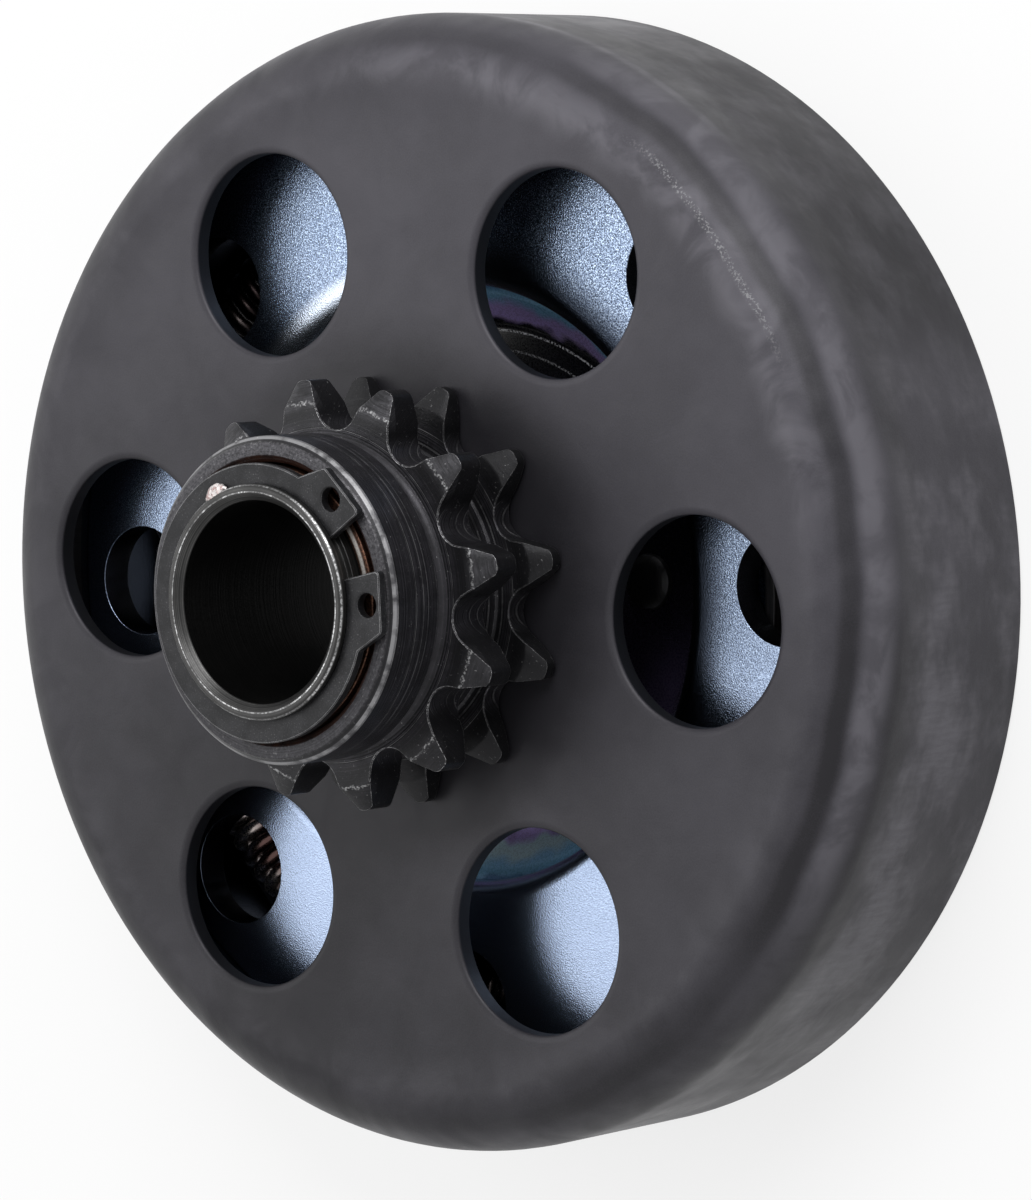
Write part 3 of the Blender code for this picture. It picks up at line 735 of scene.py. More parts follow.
@dataclass(frozen=True)
class DrumCoat:
    """Satin black oxide on pressed steel: smudged, streaked on the wall, with painted highlights and
    painted crease shade at the corner and painted shade on the face and the wall.
    """

    dark: Colour = (0.0155, 0.0148, 0.0180)
    light: Colour = (0.049, 0.0468, 0.0560)
    # Pale colour of the painted highlights and of the wall's streaks.
    highlight_and_streak: Colour = (0.110, 0.106, 0.122)
    glint: Colour = (0.24, 0.24, 0.25)
    shaded: Colour = (0.006, 0.0065, 0.008)
    metallic: float = 0.25
    gloss: float = 0.27
    face: float = 25.0

    def material(self) -> bpy.types.Material:
        """Build the material. A path runs from the axis out over the corner and down the wall.

        Returns:
            The finished material.
        """
        recipe = Recipe("drum_coat")
        span, band, times, plus, noise = recipe.tools()
        point, across, up = recipe.point, recipe.around_x, recipe.around_y
        path = recipe.maths("SUBTRACT", recipe.radius, recipe.height)
        wander = noise(recipe.around(2.2, 0.0), 1.0, 2.0)
        shifted = plus(path, span(up, -0.45, 0.55, -0.3, -1.7), span(wander, 0.25, 0.75, -0.8, 0.8))
        upper_right = times(span(up, -0.05, 0.50), span(across, -0.35, 0.15))
        right = times(span(across, 0.15, 0.60), span(up, -0.75, -0.15))
        cloud = noise(point, 0.16, 4.0, 0.6, 0.6)
        grain = noise(point, 6.0, 3.0, 0.7)
        # Painted shade: a dark crease band and an outer band round the corner, strongest on the right.
        painted_crease_shade = times(band(shifted, 25.8, 27.4, 28.2, 30.0), span(right, 0.0, 1.0, -0.12, -0.60))
        outer = times(band(shifted, 33.6, 35.6, 36.6, 40.0), span(right, 0.0, 1.0, -0.05, -0.36))
        colour = recipe.blend(plus(self.tone_and_painted_shade(recipe, grain), painted_crease_shade, outer), self.dark, self.light)
        # Painted reflection bands and highlights on the corner (corner, shoulder) and a painted highlight
        # line along the wall's top (rim).
        corner = times(band(shifted, 28.8, 30.8, 31.8, 35.2), span(cloud, 0.36, 0.60, 0.45, 1.0),
                       span(right, 0.0, 1.0, 0.15, 1.0))
        shoulder = times(band(shifted, 20.0, 23.4, 24.4, 27.4), span(cloud, 0.38, 0.62, 0.20, 1.0),
                         span(upper_right, 0.0, 1.0, 0.10, 0.75))
        wall = span(recipe.height, 19.5, 15.0)
        streaks = noise(recipe.around(90.0, times(path, 0.35)), 1.0, 5.0, 0.65)
        patch = noise(recipe.around(4.6, times(path, 0.13)), 1.0, 4.0, 0.6)
        brushed = times(wall, span(patch, 0.40, 0.66), span(streaks, 0.25, 0.75, 0.55, 1.0))
        # sides makes the wall's streaks lighter towards its left and right, as painted light.
        sides = times(span(up, 0.60, 0.15, 0.35, 0.85), span(up, -0.95, -0.35, 0.10, 1.0))
        rim = times(band(path, 35.6, 36.4, 36.9, 37.6), span(up, 0.72, 0.92),
                    span(cloud, 0.35, 0.6, 0.3, 1.0))
        highlight_and_streak_share = plus(corner, shoulder, times(rim, 0.6), times(brushed, sides))
        colour = recipe.blend(highlight_and_streak_share, colour, self.highlight_and_streak)
        # Painted shade on the wall's upper right.
        shade = times(wall, span(across, 0.95, 0.82), span(across, 0.05, 0.30), span(up, 0.30, 0.50),
                      span(patch, 0.75, 0.40, 0.35, 0.95))
        colour = recipe.blend(shade, colour, self.dark)
        # Painted glint specks along the corner's upper right.
        line = times(band(shifted, 24.0, 24.5, 24.9, 25.4), band(across, 0.48, 0.62, 0.80, 0.90),
                     span(up, 0.0, 0.3), span(noise(point, 4.2, 3.0, 0.6), 0.50, 0.62), 0.7)
        colour = recipe.blend(line, colour, self.glint)
        # Painted shade on the windows' inner walls.
        through = times(span(recipe.height, self.face - 0.36, self.face - 0.5),
                        span(recipe.radius, 47.6, 47.0), 0.9)
        colour = recipe.blend(through, colour, self.shaded)
        rough = plus(span(cloud, 0.3, 0.7, 0.50, 0.42), times(plus(corner, brushed), -0.07))
        dents = times(band(path, 20.0, 26.0, 35.0, 42.0), noise(point, 0.11, 2.0), 0.55)
        relief = plus(times(grain, 0.010), dents, times(cloud, 0.05))
        return recipe.finish(colour, rough, self.metallic, recipe.bump(relief, 1.0), self.gloss)

    def tone_and_painted_shade(self, recipe: Recipe, grain: Socket) -> Socket:
        """Share of the lighter tone: smudges, fine grain, painted shade falling to the lower left and a
        painted contact shadow towards the hub.

        Args:
            recipe: material that the tone is for.
            grain: its fine noise.

        Returns:
            The share.
        """
        span = recipe.span
        # The x and y spans paint shade falling to the lower left; the radius span paints a contact shadow
        # round the hub.
        return recipe.plus(span(recipe.noise(recipe.point, 0.045, 5.0, 0.62), 0.32, 0.70, 0.36, 0.76),
                           span(grain, 0.25, 0.75, -0.13, 0.13), span(recipe.x, -48.0, 45.0, -0.22, 0.13),
                           span(recipe.radius, 29.0, 19.5, 0.0, -0.65),
                           span(recipe.y, -52.0, 46.0, -0.38, 0.30))


@dataclass(frozen=True)
class ToothSteel:
    """Blackened steel of the sprocket: turned lines, milled flanks, nicked bright corners, painted light
    on the chamfers and the collar's face and a painted shadow on the rear row behind the front row.
    """

    dark: Colour = (0.008, 0.008, 0.009)
    face: Colour = (0.047, 0.045, 0.053)
    # chamfer is the chamfers' colour under painted light.
    chamfer: Colour = (0.058, 0.057, 0.063)
    collar_face: Colour = (0.080, 0.078, 0.085)
    bare: Colour = (0.62, 0.62, 0.63)
    rust: Colour = (0.085, 0.038, 0.026)
    gloss: float = 0.25
    row_fronts: tuple[float, float] = (27.6, 35.65)
    collar_front: float = 43.7
    mouth: float = 13.75

    def material(self) -> bpy.types.Material:
        """Build the material.

        Returns:
            The finished material.
        """
        recipe = Recipe("tooth_steel")
        span, band, times, plus, noise = recipe.tools()
        point, radius, height = recipe.point, recipe.radius, recipe.height
        across = plus(radius, times(height, 0.7))
        fine = recipe.lines(across, 8.0, 6.0)
        coarse = recipe.lines(across, 1.5, 3.0)
        arcs = noise(recipe.around(9.0, times(across, 9.0)), 1.0, 3.0, 0.7)
        grain = noise(point, 3.2, 5.0, 0.72)
        cloud = noise(point, 0.45, 4.0, 0.6)
        soft = recipe.soft_normal(0.10)
        outside = span(radius, 17.3, 18.4)
        rear, front = [times(outside, band(height, row - 1.20, row - 1.08, row + 0.1, row + 0.3))
                       for row in self.row_fronts]
        neck = span(radius, 17.4, 15.6)
        tone = times(span(neck, 0.0, 1.0, 0.22, 1.0), span(fine, 0.32, 0.72, 0.05, 0.95),
                     span(cloud, 0.3, 0.7, 0.45, 1.15))
        colour = recipe.blend(tone, self.dark, self.face)
        # Painted light on the chamfers, stronger on the front row and towards the top.
        lit = times(plus(times(rear, 0.14), front), span(cloud, 0.30, 0.65, 0.25, 1.0),
                    span(arcs, 0.32, 0.68, 0.15, 1.0), span(recipe.y, -20.0, 14.0, 0.20, 1.0))
        colour = recipe.blend(lit, colour, self.chamfer)
        # Painted shadow of the front row on the rear row.
        behind = times(span(radius, 16.6, 17.4), span(height, 29.5, 27.8), 0.6)
        colour = recipe.blend(behind, colour, self.dark)
        # Speckled lighter front face of the collar, with painted light stronger at the top.
        lit_share = times(span(height, self.collar_front - 0.22, self.collar_front - 0.08),
                     span(grain, 0.36, 0.66, 0.10, 1.0), span(recipe.y, -14.0, 15.0, 0.40, 1.0))
        colour = recipe.blend(lit_share, colour, self.collar_face)
        mouth = times(span(radius, self.mouth, self.mouth - 0.15),
                      span(height, self.collar_front - 0.8, self.collar_front - 0.6),
                      span(cloud, 0.35, 0.6, 0.25, 1.0))
        colour = recipe.blend(mouth, colour, self.rust)
        scratch = times(neck, span(coarse, 0.57, 0.66), span(fine, 0.45, 0.62),
                        span(cloud, 0.36, 0.56, 0.20, 1.0), 0.36)
        nicks = times(span(grain, 0.63, 0.70), span(cloud, 0.42, 0.56, 0.25, 1.0), 0.40)
        colour = recipe.blend(plus(scratch, nicks), colour, self.bare)
        ragged = plus(radius, span(noise(point, 1.3, 3.0), 0.3, 0.7, -0.16, 0.16))
        crest = times(band(ragged, 18.15, 18.30, 18.45, 18.60), band(height, 35.3, 35.45, 35.7, 35.8),
                      span(grain, 0.44, 0.62, 0.0, 0.5))
        corner = times(recipe.edges(soft, 0.006, 0.06), span(grain, 0.40, 0.60, 0.06, 1.0),
                       span(cloud, 0.32, 0.58, 0.30, 1.0), span(height, 27.8, 30.0, 0.30, 1.0))
        chips = recipe.maths("MAXIMUM", corner, crest)
        colour = recipe.blend(times(chips, 0.85), colour, self.bare)
        metallic = span(chips, 0.1, 0.8, 0.45, 0.95)
        rough = plus(span(fine, 0.2, 0.8, 0.28, 0.44), times(outside, span(grain, 0.2, 0.8, -0.02, 0.14)))
        relief = plus(times(fine, neck, 0.9), times(grain, 0.9), times(arcs, 0.5))
        return recipe.finish(colour, rough, metallic, recipe.bump(relief, 0.03, soft), self.gloss)


@dataclass(frozen=True)
class TurnedSteel:
    """Dark turned steel whose corners and tool marks shine through."""

    name: str
    dark: Colour
    light: Colour
    bare: Colour = (0.66, 0.66, 0.67)
    metallic: float = 0.75
    rough: float = 0.34
    marks: float = 6.0
    shine: float = 0.7
    ring_radii: tuple[float, ...] = ()
    ring_level: float = 0.0
    bore: float = 9.525
    shaded: Colour = (0.003, 0.003, 0.003)

    def material(self) -> bpy.types.Material:
        """Build the material, with painted highlight lines at the ring radii above the ring level.

        Returns:
            The finished material.
        """
        recipe = Recipe(self.name)
        span, band, times, plus, noise = recipe.tools()
        radius, height = recipe.radius, recipe.height
        fine = recipe.lines(plus(radius, times(height, 0.7)), self.marks, 5.0)
        grain = noise(recipe.point, 4.0, 4.0, 0.65)
        cloud = noise(recipe.point, 0.4, 3.0)
        soft = recipe.soft_normal(0.08)
        tone = times(span(fine, 0.3, 0.7), span(cloud, 0.3, 0.7, 0.5, 1.0))
        colour = recipe.blend(tone, self.dark, self.light)
        shine = times(recipe.edges(soft, 0.02, 0.12), span(grain, 0.3, 0.6, 0.2, 1.0), self.shine)
        # Painted highlight lines along the chamfer edges at the ring radii.
        for ring in self.ring_radii:
            line = times(band(radius, ring - 0.09, ring - 0.04, ring + 0.04, ring + 0.09),
                         span(height, self.ring_level, self.ring_level + 0.1),
                         span(grain, 0.40, 0.60, 0.10, 0.8), span(cloud, 0.35, 0.60, 0.25, 0.9))
            shine = recipe.maths("MAXIMUM", shine, line)
        colour = recipe.blend(shine, colour, self.bare)
        deep = times(span(radius, self.bore + 0.12, self.bore + 0.02), 0.85)
        colour = recipe.blend(deep, colour, self.shaded)
        rough = plus(span(grain, 0.2, 0.8, self.rough - 0.05, self.rough + 0.08), times(shine, -0.08))
        normal = recipe.bump(plus(fine, times(grain, 0.5)), 0.015, soft)
        return recipe.finish(colour, rough, self.metallic, normal)


@dataclass(frozen=True)
class StampedSteel:
    """Grey phosphated spring steel with a fine grain and lighter sheared edges."""

    dark: Colour = (0.0055, 0.0056, 0.0064)
    light: Colour = (0.021, 0.021, 0.023)
    bare: Colour = (0.42, 0.42, 0.43)
    gloss: float = 0.3

    def material(self) -> bpy.types.Material:
        """Build the material.

        Returns:
            The finished material.
        """
        recipe = Recipe("stamped_ring_steel")
        span, _, times, plus, noise = recipe.tools()
        grain = noise(recipe.point, 6.0, 3.0, 0.6)
        cloud = noise(recipe.point, 0.5, 3.0)
        soft = recipe.soft_normal(0.1)
        tone = plus(span(grain, 0.35, 0.65, 0.0, 0.6), span(cloud, 0.35, 0.65, 0.0, 0.6))
        colour = recipe.blend(tone, self.dark, self.light)
        speck = times(span(grain, 0.60, 0.70), span(cloud, 0.4, 0.6, 0.2, 1.0), 0.22)
        colour = recipe.blend(speck, colour, self.bare)
        corner = times(recipe.edges(soft, 0.004, 0.05), span(cloud, 0.3, 0.6, 0.45, 1.0))
        colour = recipe.blend(times(corner, 0.7), colour, self.bare)
        metallic = span(corner, 0.1, 0.9, 0.4, 0.9)
        rough = span(grain, 0.2, 0.8, 0.40, 0.54)
        return recipe.finish(colour, rough, metallic, recipe.bump(grain, 0.012, soft), self.gloss)


@dataclass(frozen=True)
class BlastedSteel:
    """Bright shoe steel with a bluish cast and a sparkling blasted grain, with a painted highlight on the
    rolled lip and painted shade inside the channel and near the lip on the right.
    """

    colour: Colour = (0.275, 0.335, 0.455)
    shaded: Colour = (0.165, 0.215, 0.310)
    pit: Colour = (0.035, 0.048, 0.075)
    spark: Colour = (0.47, 0.57, 0.72)
    # lip is the colour of the painted highlight on the rolled lip.
    lip: Colour = (0.62, 0.68, 0.78)
    # inside is the colour of the painted shade.
    inside: Colour = (0.008, 0.010, 0.015)
    front: float = 18.0
    rear: float = 3.2
    wall: float = 49.4
    inner_radius: float = 29.1

    def material(self) -> bpy.types.Material:
        """Build the material.

        Returns:
            The finished material.
        """
        recipe = Recipe("blasted_shoe_steel")
        span, band, times, plus, noise = recipe.tools()
        across, up = recipe.around_x, recipe.around_y
        grain = noise(recipe.point, 6.6, 1.0, 0.6)
        coarse = times(span(recipe.y, -34.0, 30.0, 0.14, 1.0), span(recipe.x, -40.0, 25.0, 0.7, 1.0))
        tone = plus(span(recipe.y, -28.0, 30.0, 0.0, 0.8),
                    span(noise(recipe.point, 0.12, 2.0), 0.3, 0.7, -0.12, 0.14))
        colour = recipe.blend(tone, self.colour, self.shaded)
        colour = recipe.blend(times(span(grain, 0.49, 0.34), coarse), colour, self.pit)
        colour = recipe.blend(times(span(grain, 0.53, 0.66), coarse), colour, self.spark)
        from_lip = recipe.maths("SUBTRACT", recipe.radius, self.inner_radius)
        # Painted highlight on the rolled lip in the upper left.
        rolled = times(span(from_lip, 4.0, 2.2), span(across, -0.10, -0.40), span(up, 0.3, 0.6), 0.8)
        colour = recipe.blend(rolled, colour, self.lip)
        # Painted shade near the lip on the right.
        gloom = times(span(from_lip, 6.6, 2.0), span(across, -0.25, 0.20), span(up, -0.85, -0.35), 0.94)
        colour = recipe.blend(gloom, colour, self.inside)
        # Painted shade inside the channel.
        depth = times(band(recipe.height, self.rear + 0.06, self.rear + 0.25,
                           self.front - 0.10, self.front - 0.03),
                      span(recipe.radius, self.wall, self.wall - 0.5), span(from_lip, 2.4, 3.0), 0.96)
        colour = recipe.blend(depth, colour, self.inside)
        rough = span(recipe.y, -30.0, 32.0, 0.23, 0.26)
        relief = plus(times(grain, span(coarse, 0.0, 1.0, 0.022, 0.045)),
                      times(noise(recipe.point, 11.0, 1.0), 0.008))
        return recipe.finish(colour, rough, 1.0, recipe.bump(relief, 1.0))


@dataclass(frozen=True)
class BluedSteel:
    """Heat-blued plate: steel blue at its rim, lilac down the slope, paler towards the bottom as painted
    light, and dark with painted shade on the floor and at its left and right.
    """

    rim: Colour = (0.12, 0.30, 0.62)
    middle: Colour = (0.30, 0.66, 1.00)
    slope: Colour = (0.62, 0.47, 1.00)
    # pale is painted light on the lower slope, floor the painted shade, line the painted highlight lines.
    pale: Colour = (0.66, 0.90, 1.00)
    floor: Colour = (0.003, 0.003, 0.005)
    line: Colour = (0.70, 0.71, 0.75)
    metallic: float = 0.12
    lines: tuple[Point, ...] = ((24.5, 0.9), (22.6, 0.35))

    def material(self) -> bpy.types.Material:
        """Build the material, with a painted highlight line at each radius, as strong as its share.

        Returns:
            The finished material.
        """
        recipe = Recipe("blued_plate_steel")
        span, band, times, plus, noise = recipe.tools()
        wave = noise(recipe.point, 0.22, 2.0)
        grain = noise(recipe.point, 5.0, 3.0)
        place = plus(recipe.radius, span(wave, 0.3, 0.7, -0.5, 0.5))
        # lower: painted light, paler towards the bottom.
        lower = span(recipe.y, 5.0, -15.0)
        colour = recipe.blend(span(place, 29.2, 28.6), self.rim, self.middle)
        slope = recipe.blend(lower, self.slope, self.pale)
        colour = recipe.blend(span(place, 28.1, 26.8), colour, slope)
        # Painted shade on the floor, lighter towards the bottom.
        floor = recipe.blend(times(lower, span(wave, 0.3, 0.6, 0.6, 1.0)), self.floor, self.slope)
        colour = recipe.blend(span(place, 26.1, 25.2), colour, floor)
        # Painted shade on the left and the right.
        beside = span(recipe.maths("ABSOLUTE", recipe.around_y), 0.75, 0.50, 0.0, 0.95)
        colour = recipe.blend(beside, colour, self.floor)
        # Painted highlight lines at the turned steps, on the upper side.
        for ring, share in self.lines:
            line = times(band(recipe.radius, ring - 0.14, ring - 0.06, ring + 0.06, ring + 0.14),
                         span(grain, 0.46, 0.54), span(recipe.around_y, 0.45, 0.60), share)
            colour = recipe.blend(line, colour, self.line)
        rough = span(grain, 0.2, 0.8, 0.22, 0.34)
        normal = recipe.bump(plus(times(grain, 0.4), recipe.lines(recipe.radius, 3.0, 4.0)), 0.006)
        return recipe.finish(colour, rough, self.metallic, normal)


@dataclass(frozen=True)
class SinteredBronze:
    """Oiled porous bronze of the bush, with a painted highlight streak where the ring's gap leaves it
    open.
    """

    dark: Colour = (0.022, 0.012, 0.009)
    light: Colour = (0.17, 0.085, 0.055)
    highlight_and_streak: Colour = (0.78, 0.74, 0.70)
    metallic: float = 0.9
    gap_direction: float = 26.8
    radius: float = 12.05

    def material(self) -> bpy.types.Material:
        """Build the material.

        Returns:
            The finished material.
        """
        recipe = Recipe("sintered_bronze")
        span, band, times, _, noise = recipe.tools()
        pores = noise(recipe.point, 5.0, 4.0, 0.7)
        cloud = noise(recipe.point, 0.6, 3.0)
        tone = times(span(pores, 0.35, 0.65), span(cloud, 0.3, 0.7, 0.5, 1.0))
        colour = recipe.blend(tone, self.dark, self.light)
        # Painted highlight streak in the ring's gap.
        streak = times(span(recipe.towards(self.gap_direction), 0.965, 0.985),
                       band(recipe.radius, self.radius - 0.30, self.radius - 0.12,
                            self.radius + 0.12, self.radius + 0.30),
                       span(pores, 0.30, 0.50, 0.4, 1.0))
        colour = recipe.blend(streak, colour, self.highlight_and_streak)
        rough = span(pores, 0.3, 0.7, 0.5, 0.35)
        return recipe.finish(colour, rough, self.metallic, recipe.bump(pores, 0.02))


@dataclass(frozen=True)
class SpringWire:
    """Oil-tempered wire with a brown to straw cast that changes from turn to turn, and painted shade on
    the sides that face 120 and 300 degrees.
    """

    brown: Colour = (0.10, 0.060, 0.055)
    straw: Colour = (0.60, 0.54, 0.52)
    painted_shade: Colour = (0.012, 0.009, 0.009)
    lit_direction: float = 30.0

    def material(self) -> bpy.types.Material:
        """Build the material.

        Returns:
            The finished material.
        """
        recipe = Recipe("tempered_wire")
        cast = recipe.noise(recipe.point, 0.14, 1.0)
        grain = recipe.noise(recipe.point, 6.0, 3.0)
        colour = recipe.blend(recipe.span(cast, 0.35, 0.65), self.brown, self.straw)
        # Painted shade away from the lit direction and its opposite.
        lit_share = recipe.maths("ABSOLUTE", recipe.towards(self.lit_direction))
        colour = recipe.blend(recipe.span(lit_share, 0.35, 0.80), self.painted_shade, colour)
        rough = recipe.span(grain, 0.2, 0.8, 0.20, 0.34)
        return recipe.finish(colour, rough, 1.0, recipe.bump(grain, 0.006))


@dataclass(frozen=True)
class BareLump:
    """Bright burr of metal, whitish with a pink cast."""

    pale: Colour = (0.66, 0.62, 0.61)
    pink: Colour = (0.36, 0.24, 0.23)
    metallic: float = 0.65

    def material(self) -> bpy.types.Material:
        """Build the material.

        Returns:
            The finished material.
        """
        recipe = Recipe("bare_burr")
        grain = recipe.noise(recipe.point, 2.5, 3.0)
        colour = recipe.blend(recipe.span(grain, 0.46, 0.66), self.pale, self.pink)
        rough = recipe.span(grain, 0.3, 0.7, 0.25, 0.5)
        return recipe.finish(colour, rough, self.metallic, recipe.bump(grain, 0.35))


# Sub-assemblies

@dataclass
class DrumAssembly:
    """Pressed drum, the double-row sprocket that is swaged into it and the bush inside that."""

    radius: float = 55.2
    depth: float = 25.0
    sheet: float = 2.0
    corner: float = 6.5
    centre_hole: float = 14.9
    window_radius: float = 9.9
    window_circle: float = 36.0
    window_roll: float = 0.8
    window_burr: float = 0.4
    windows: int = 6
    teeth: int = 12
    first_tooth: float = 12.9
    pitch_radius: float = 18.40
    tip_radius: float = 20.63
    seat_radius: float = 2.565
    seat_half_angle: float = 61.25
    flank_radius: float = 10.5
    chamfer_radius: float = 18.43
    tip_rounding: float = 0.32
    bore: float = 13.0
    spigot: float = 14.6
    flange: float = 16.4
    flange_rear: float = 21.7
    flange_front: float = 22.7
    waist: float = 14.3
    waist_fillet: float = 0.5
    neck: float = 14.6
    neck_fillet: float = 1.0
    rear_row: tuple[float, float] = (25.3, 27.6)
    front_row: tuple[float, float] = (31.25, 35.65)
    collar: float = 15.5
    collar_rear: float = 37.0
    collar_front: float = 43.7
    bush_bore: float = 11.4
    bush_radius: float = 12.7
    bush_rear: float = 21.4
    bush_front: float = 43.3

    def build(self) -> None:
        """Build and dress the three pieces."""
        self.build_cup()
        self.build_sprocket()
        self.build_bush()

    def build_cup(self) -> None:
        """Cup with a rolled corner and six windows with drawn-in rims."""
        inside = self.radius - self.sheet
        rear = self.depth - self.sheet
        section = rounded([(self.radius, 0.0, 0.35), (self.radius, self.depth, self.corner),
                           (self.centre_hole, self.depth, 0.25), (self.centre_hole, rear, 0.25),
                           (inside, rear, self.corner - self.sheet), (inside, 0.0, 0.35)], 6.0)
        shape = turned(section, 192)
        places = [polar(self.window_circle, 360.0 * index / self.windows)
                  for index in range(self.windows)]
        pierce(shape, self.depth, rear,
               [Hole(place, self.window_radius, self.window_roll, self.window_burr)
                for place in places])
        dress(plain_object("drum_shell", shape), DrumCoat().material(), Slot.DRUM,
              ("drum_cup",), Body.DRUM)

    def tooth_outline(self, reach: float, inset: float = 0.0) -> list[Point]:
        """Outline of a row of teeth, cut off at a radius.

        Args:
            reach: radius of the lands at the tooth tips.
            inset: how far the outline stands back from the full one.

        Returns:
            Points round the whole row, 32 to each tooth.
        """
        seat = self.seat_radius + inset
        flank = self.flank_radius - inset
        half = self.seat_half_angle
        centre = (self.pitch_radius - (seat + flank) * math.cos(math.radians(half)),
                  (seat + flank) * math.sin(math.radians(half)))
        distance = math.hypot(*centre)
        bearing = math.degrees(math.atan2(centre[1], centre[0]))
        shoulder = reach - self.tip_rounding
        swing = (distance ** 2 + flank ** 2 - shoulder ** 2) / (2 * distance * flank)
        leave = bearing - 180.0 + math.degrees(math.acos(swing))
        upper = arc(centre, flank, -half, leave, 6)
        lower = [(x, -y) for x, y in reversed(upper)]
        bottom = arc((self.pitch_radius, 0.0), seat, 180 + half, 180 - half, 12)
        edge = math.degrees(math.atan2(upper[-1][1], upper[-1][0]))
        pitch = 360.0 / self.teeth
        land = [polar(reach - self.tip_rounding * abs(step / 4 - 1) ** 3,
                      edge + (pitch - 2 * edge) * step / 8) for step in range(9)]
        one = lower[:-1] + bottom[:-1] + upper[:-1] + land[:-1]
        turns = [math.radians(self.first_tooth + (index + 0.5) * pitch)
                 for index in range(self.teeth)]
        return [(x * math.cos(turn) - y * math.sin(turn), x * math.sin(turn) + y * math.cos(turn))
                for turn in turns for x, y in one]

    def sprocket_levels(self) -> list[list[Corner]]:
        """Closed loops from the bore round the outside and back to the bore.

        Returns:
            Loops of the same number of (x, y, height) points.
        """
        full = self.tooth_outline(self.tip_radius)
        bearings = [math.degrees(math.atan2(y, x)) for x, y in full]

        def plain(radius: float, z: float) -> list[Corner]:
            """Round loop with a point at the bearing of each point of the teeth."""
            return [(*polar(radius, bearing), z) for bearing in bearings]

        def toothed(reach: float, z: float, inset: float = 0.0) -> list[Corner]:
            """Loop round the teeth, cut off at a radius."""
            return [(x, y, z) for x, y in self.tooth_outline(reach, inset)]

        tip, slope = self.tip_radius, self.chamfer_radius
        (back, low), (seat, top) = self.rear_row, self.front_row
        start, end = self.collar_rear, self.collar_front
        waist = self.waist + self.waist_fillet
        levels = [plain(*pair) for pair in rounded(
            [(self.bore, self.flange_rear, 0.1), (self.flange, self.flange_rear, 0.35),
             (self.flange, self.flange_front, 0.1), (self.spigot, self.flange_front, 0.0),
             (self.spigot, back, 0.0)], 30.0)]
        levels += [toothed(tip - 0.12, back, 0.12), toothed(tip, back + 0.12), toothed(tip, low - 1.1),
                   toothed(slope + 0.2, low - 0.1), toothed(slope - 0.05, low, 0.08)]
        levels += [plain(*pair) for pair in
                   arc((waist, low + self.waist_fillet), self.waist_fillet, 270, 180, 3)
                   + arc((waist, seat - self.waist_fillet), self.waist_fillet, 180, 90, 3)]
        levels += [toothed(slope, seat, 0.08), toothed(slope + 0.2, seat + 0.05),
                   toothed(tip, seat + 0.55), toothed(tip, top - 1.1),
                   toothed(slope + 0.2, top - 0.1), toothed(slope - 0.05, top, 0.1)]
        levels += [plain(*pair) for pair in
                   arc((self.neck + self.neck_fillet, top + self.neck_fillet), self.neck_fillet,
                       270, 180, 6)]
        levels += [plain(*pair) for pair in rounded(
            [(self.neck, start, 0.0), (self.collar - 0.35, start, 0.08),
             (self.collar, start + 0.35, 0.12), (self.collar, end - 0.7, 0.12),
             (self.collar - 0.7, end, 0.12),
             (self.bore + 0.7, end, 0.1), (self.bore, end - 0.7, 0.1)], 15.0)]
        return levels

    def build_sprocket(self) -> None:
        """Loft the sprocket through its loops."""
        dress(plain_object("sprocket_and_collar", lofted(self.sprocket_levels())),
              ToothSteel().material(), Slot.TOOTH, ("sprocket",), Body.DRUM, sharp=24.0)

    def build_bush(self) -> None:
        """Bush in the sprocket's bore."""
        section = rounded([(self.bush_bore, self.bush_rear, 0.1), (self.bush_radius, self.bush_rear, 0.1),
                           (self.bush_radius, self.bush_front, 0.15),
                           (self.bush_bore, self.bush_front, 0.35)])
        dress(plain_object("bush", turned(section, 128)), SinteredBronze().material(),
              Slot.BRONZE, ("bronze_bush",), Body.DRUM)


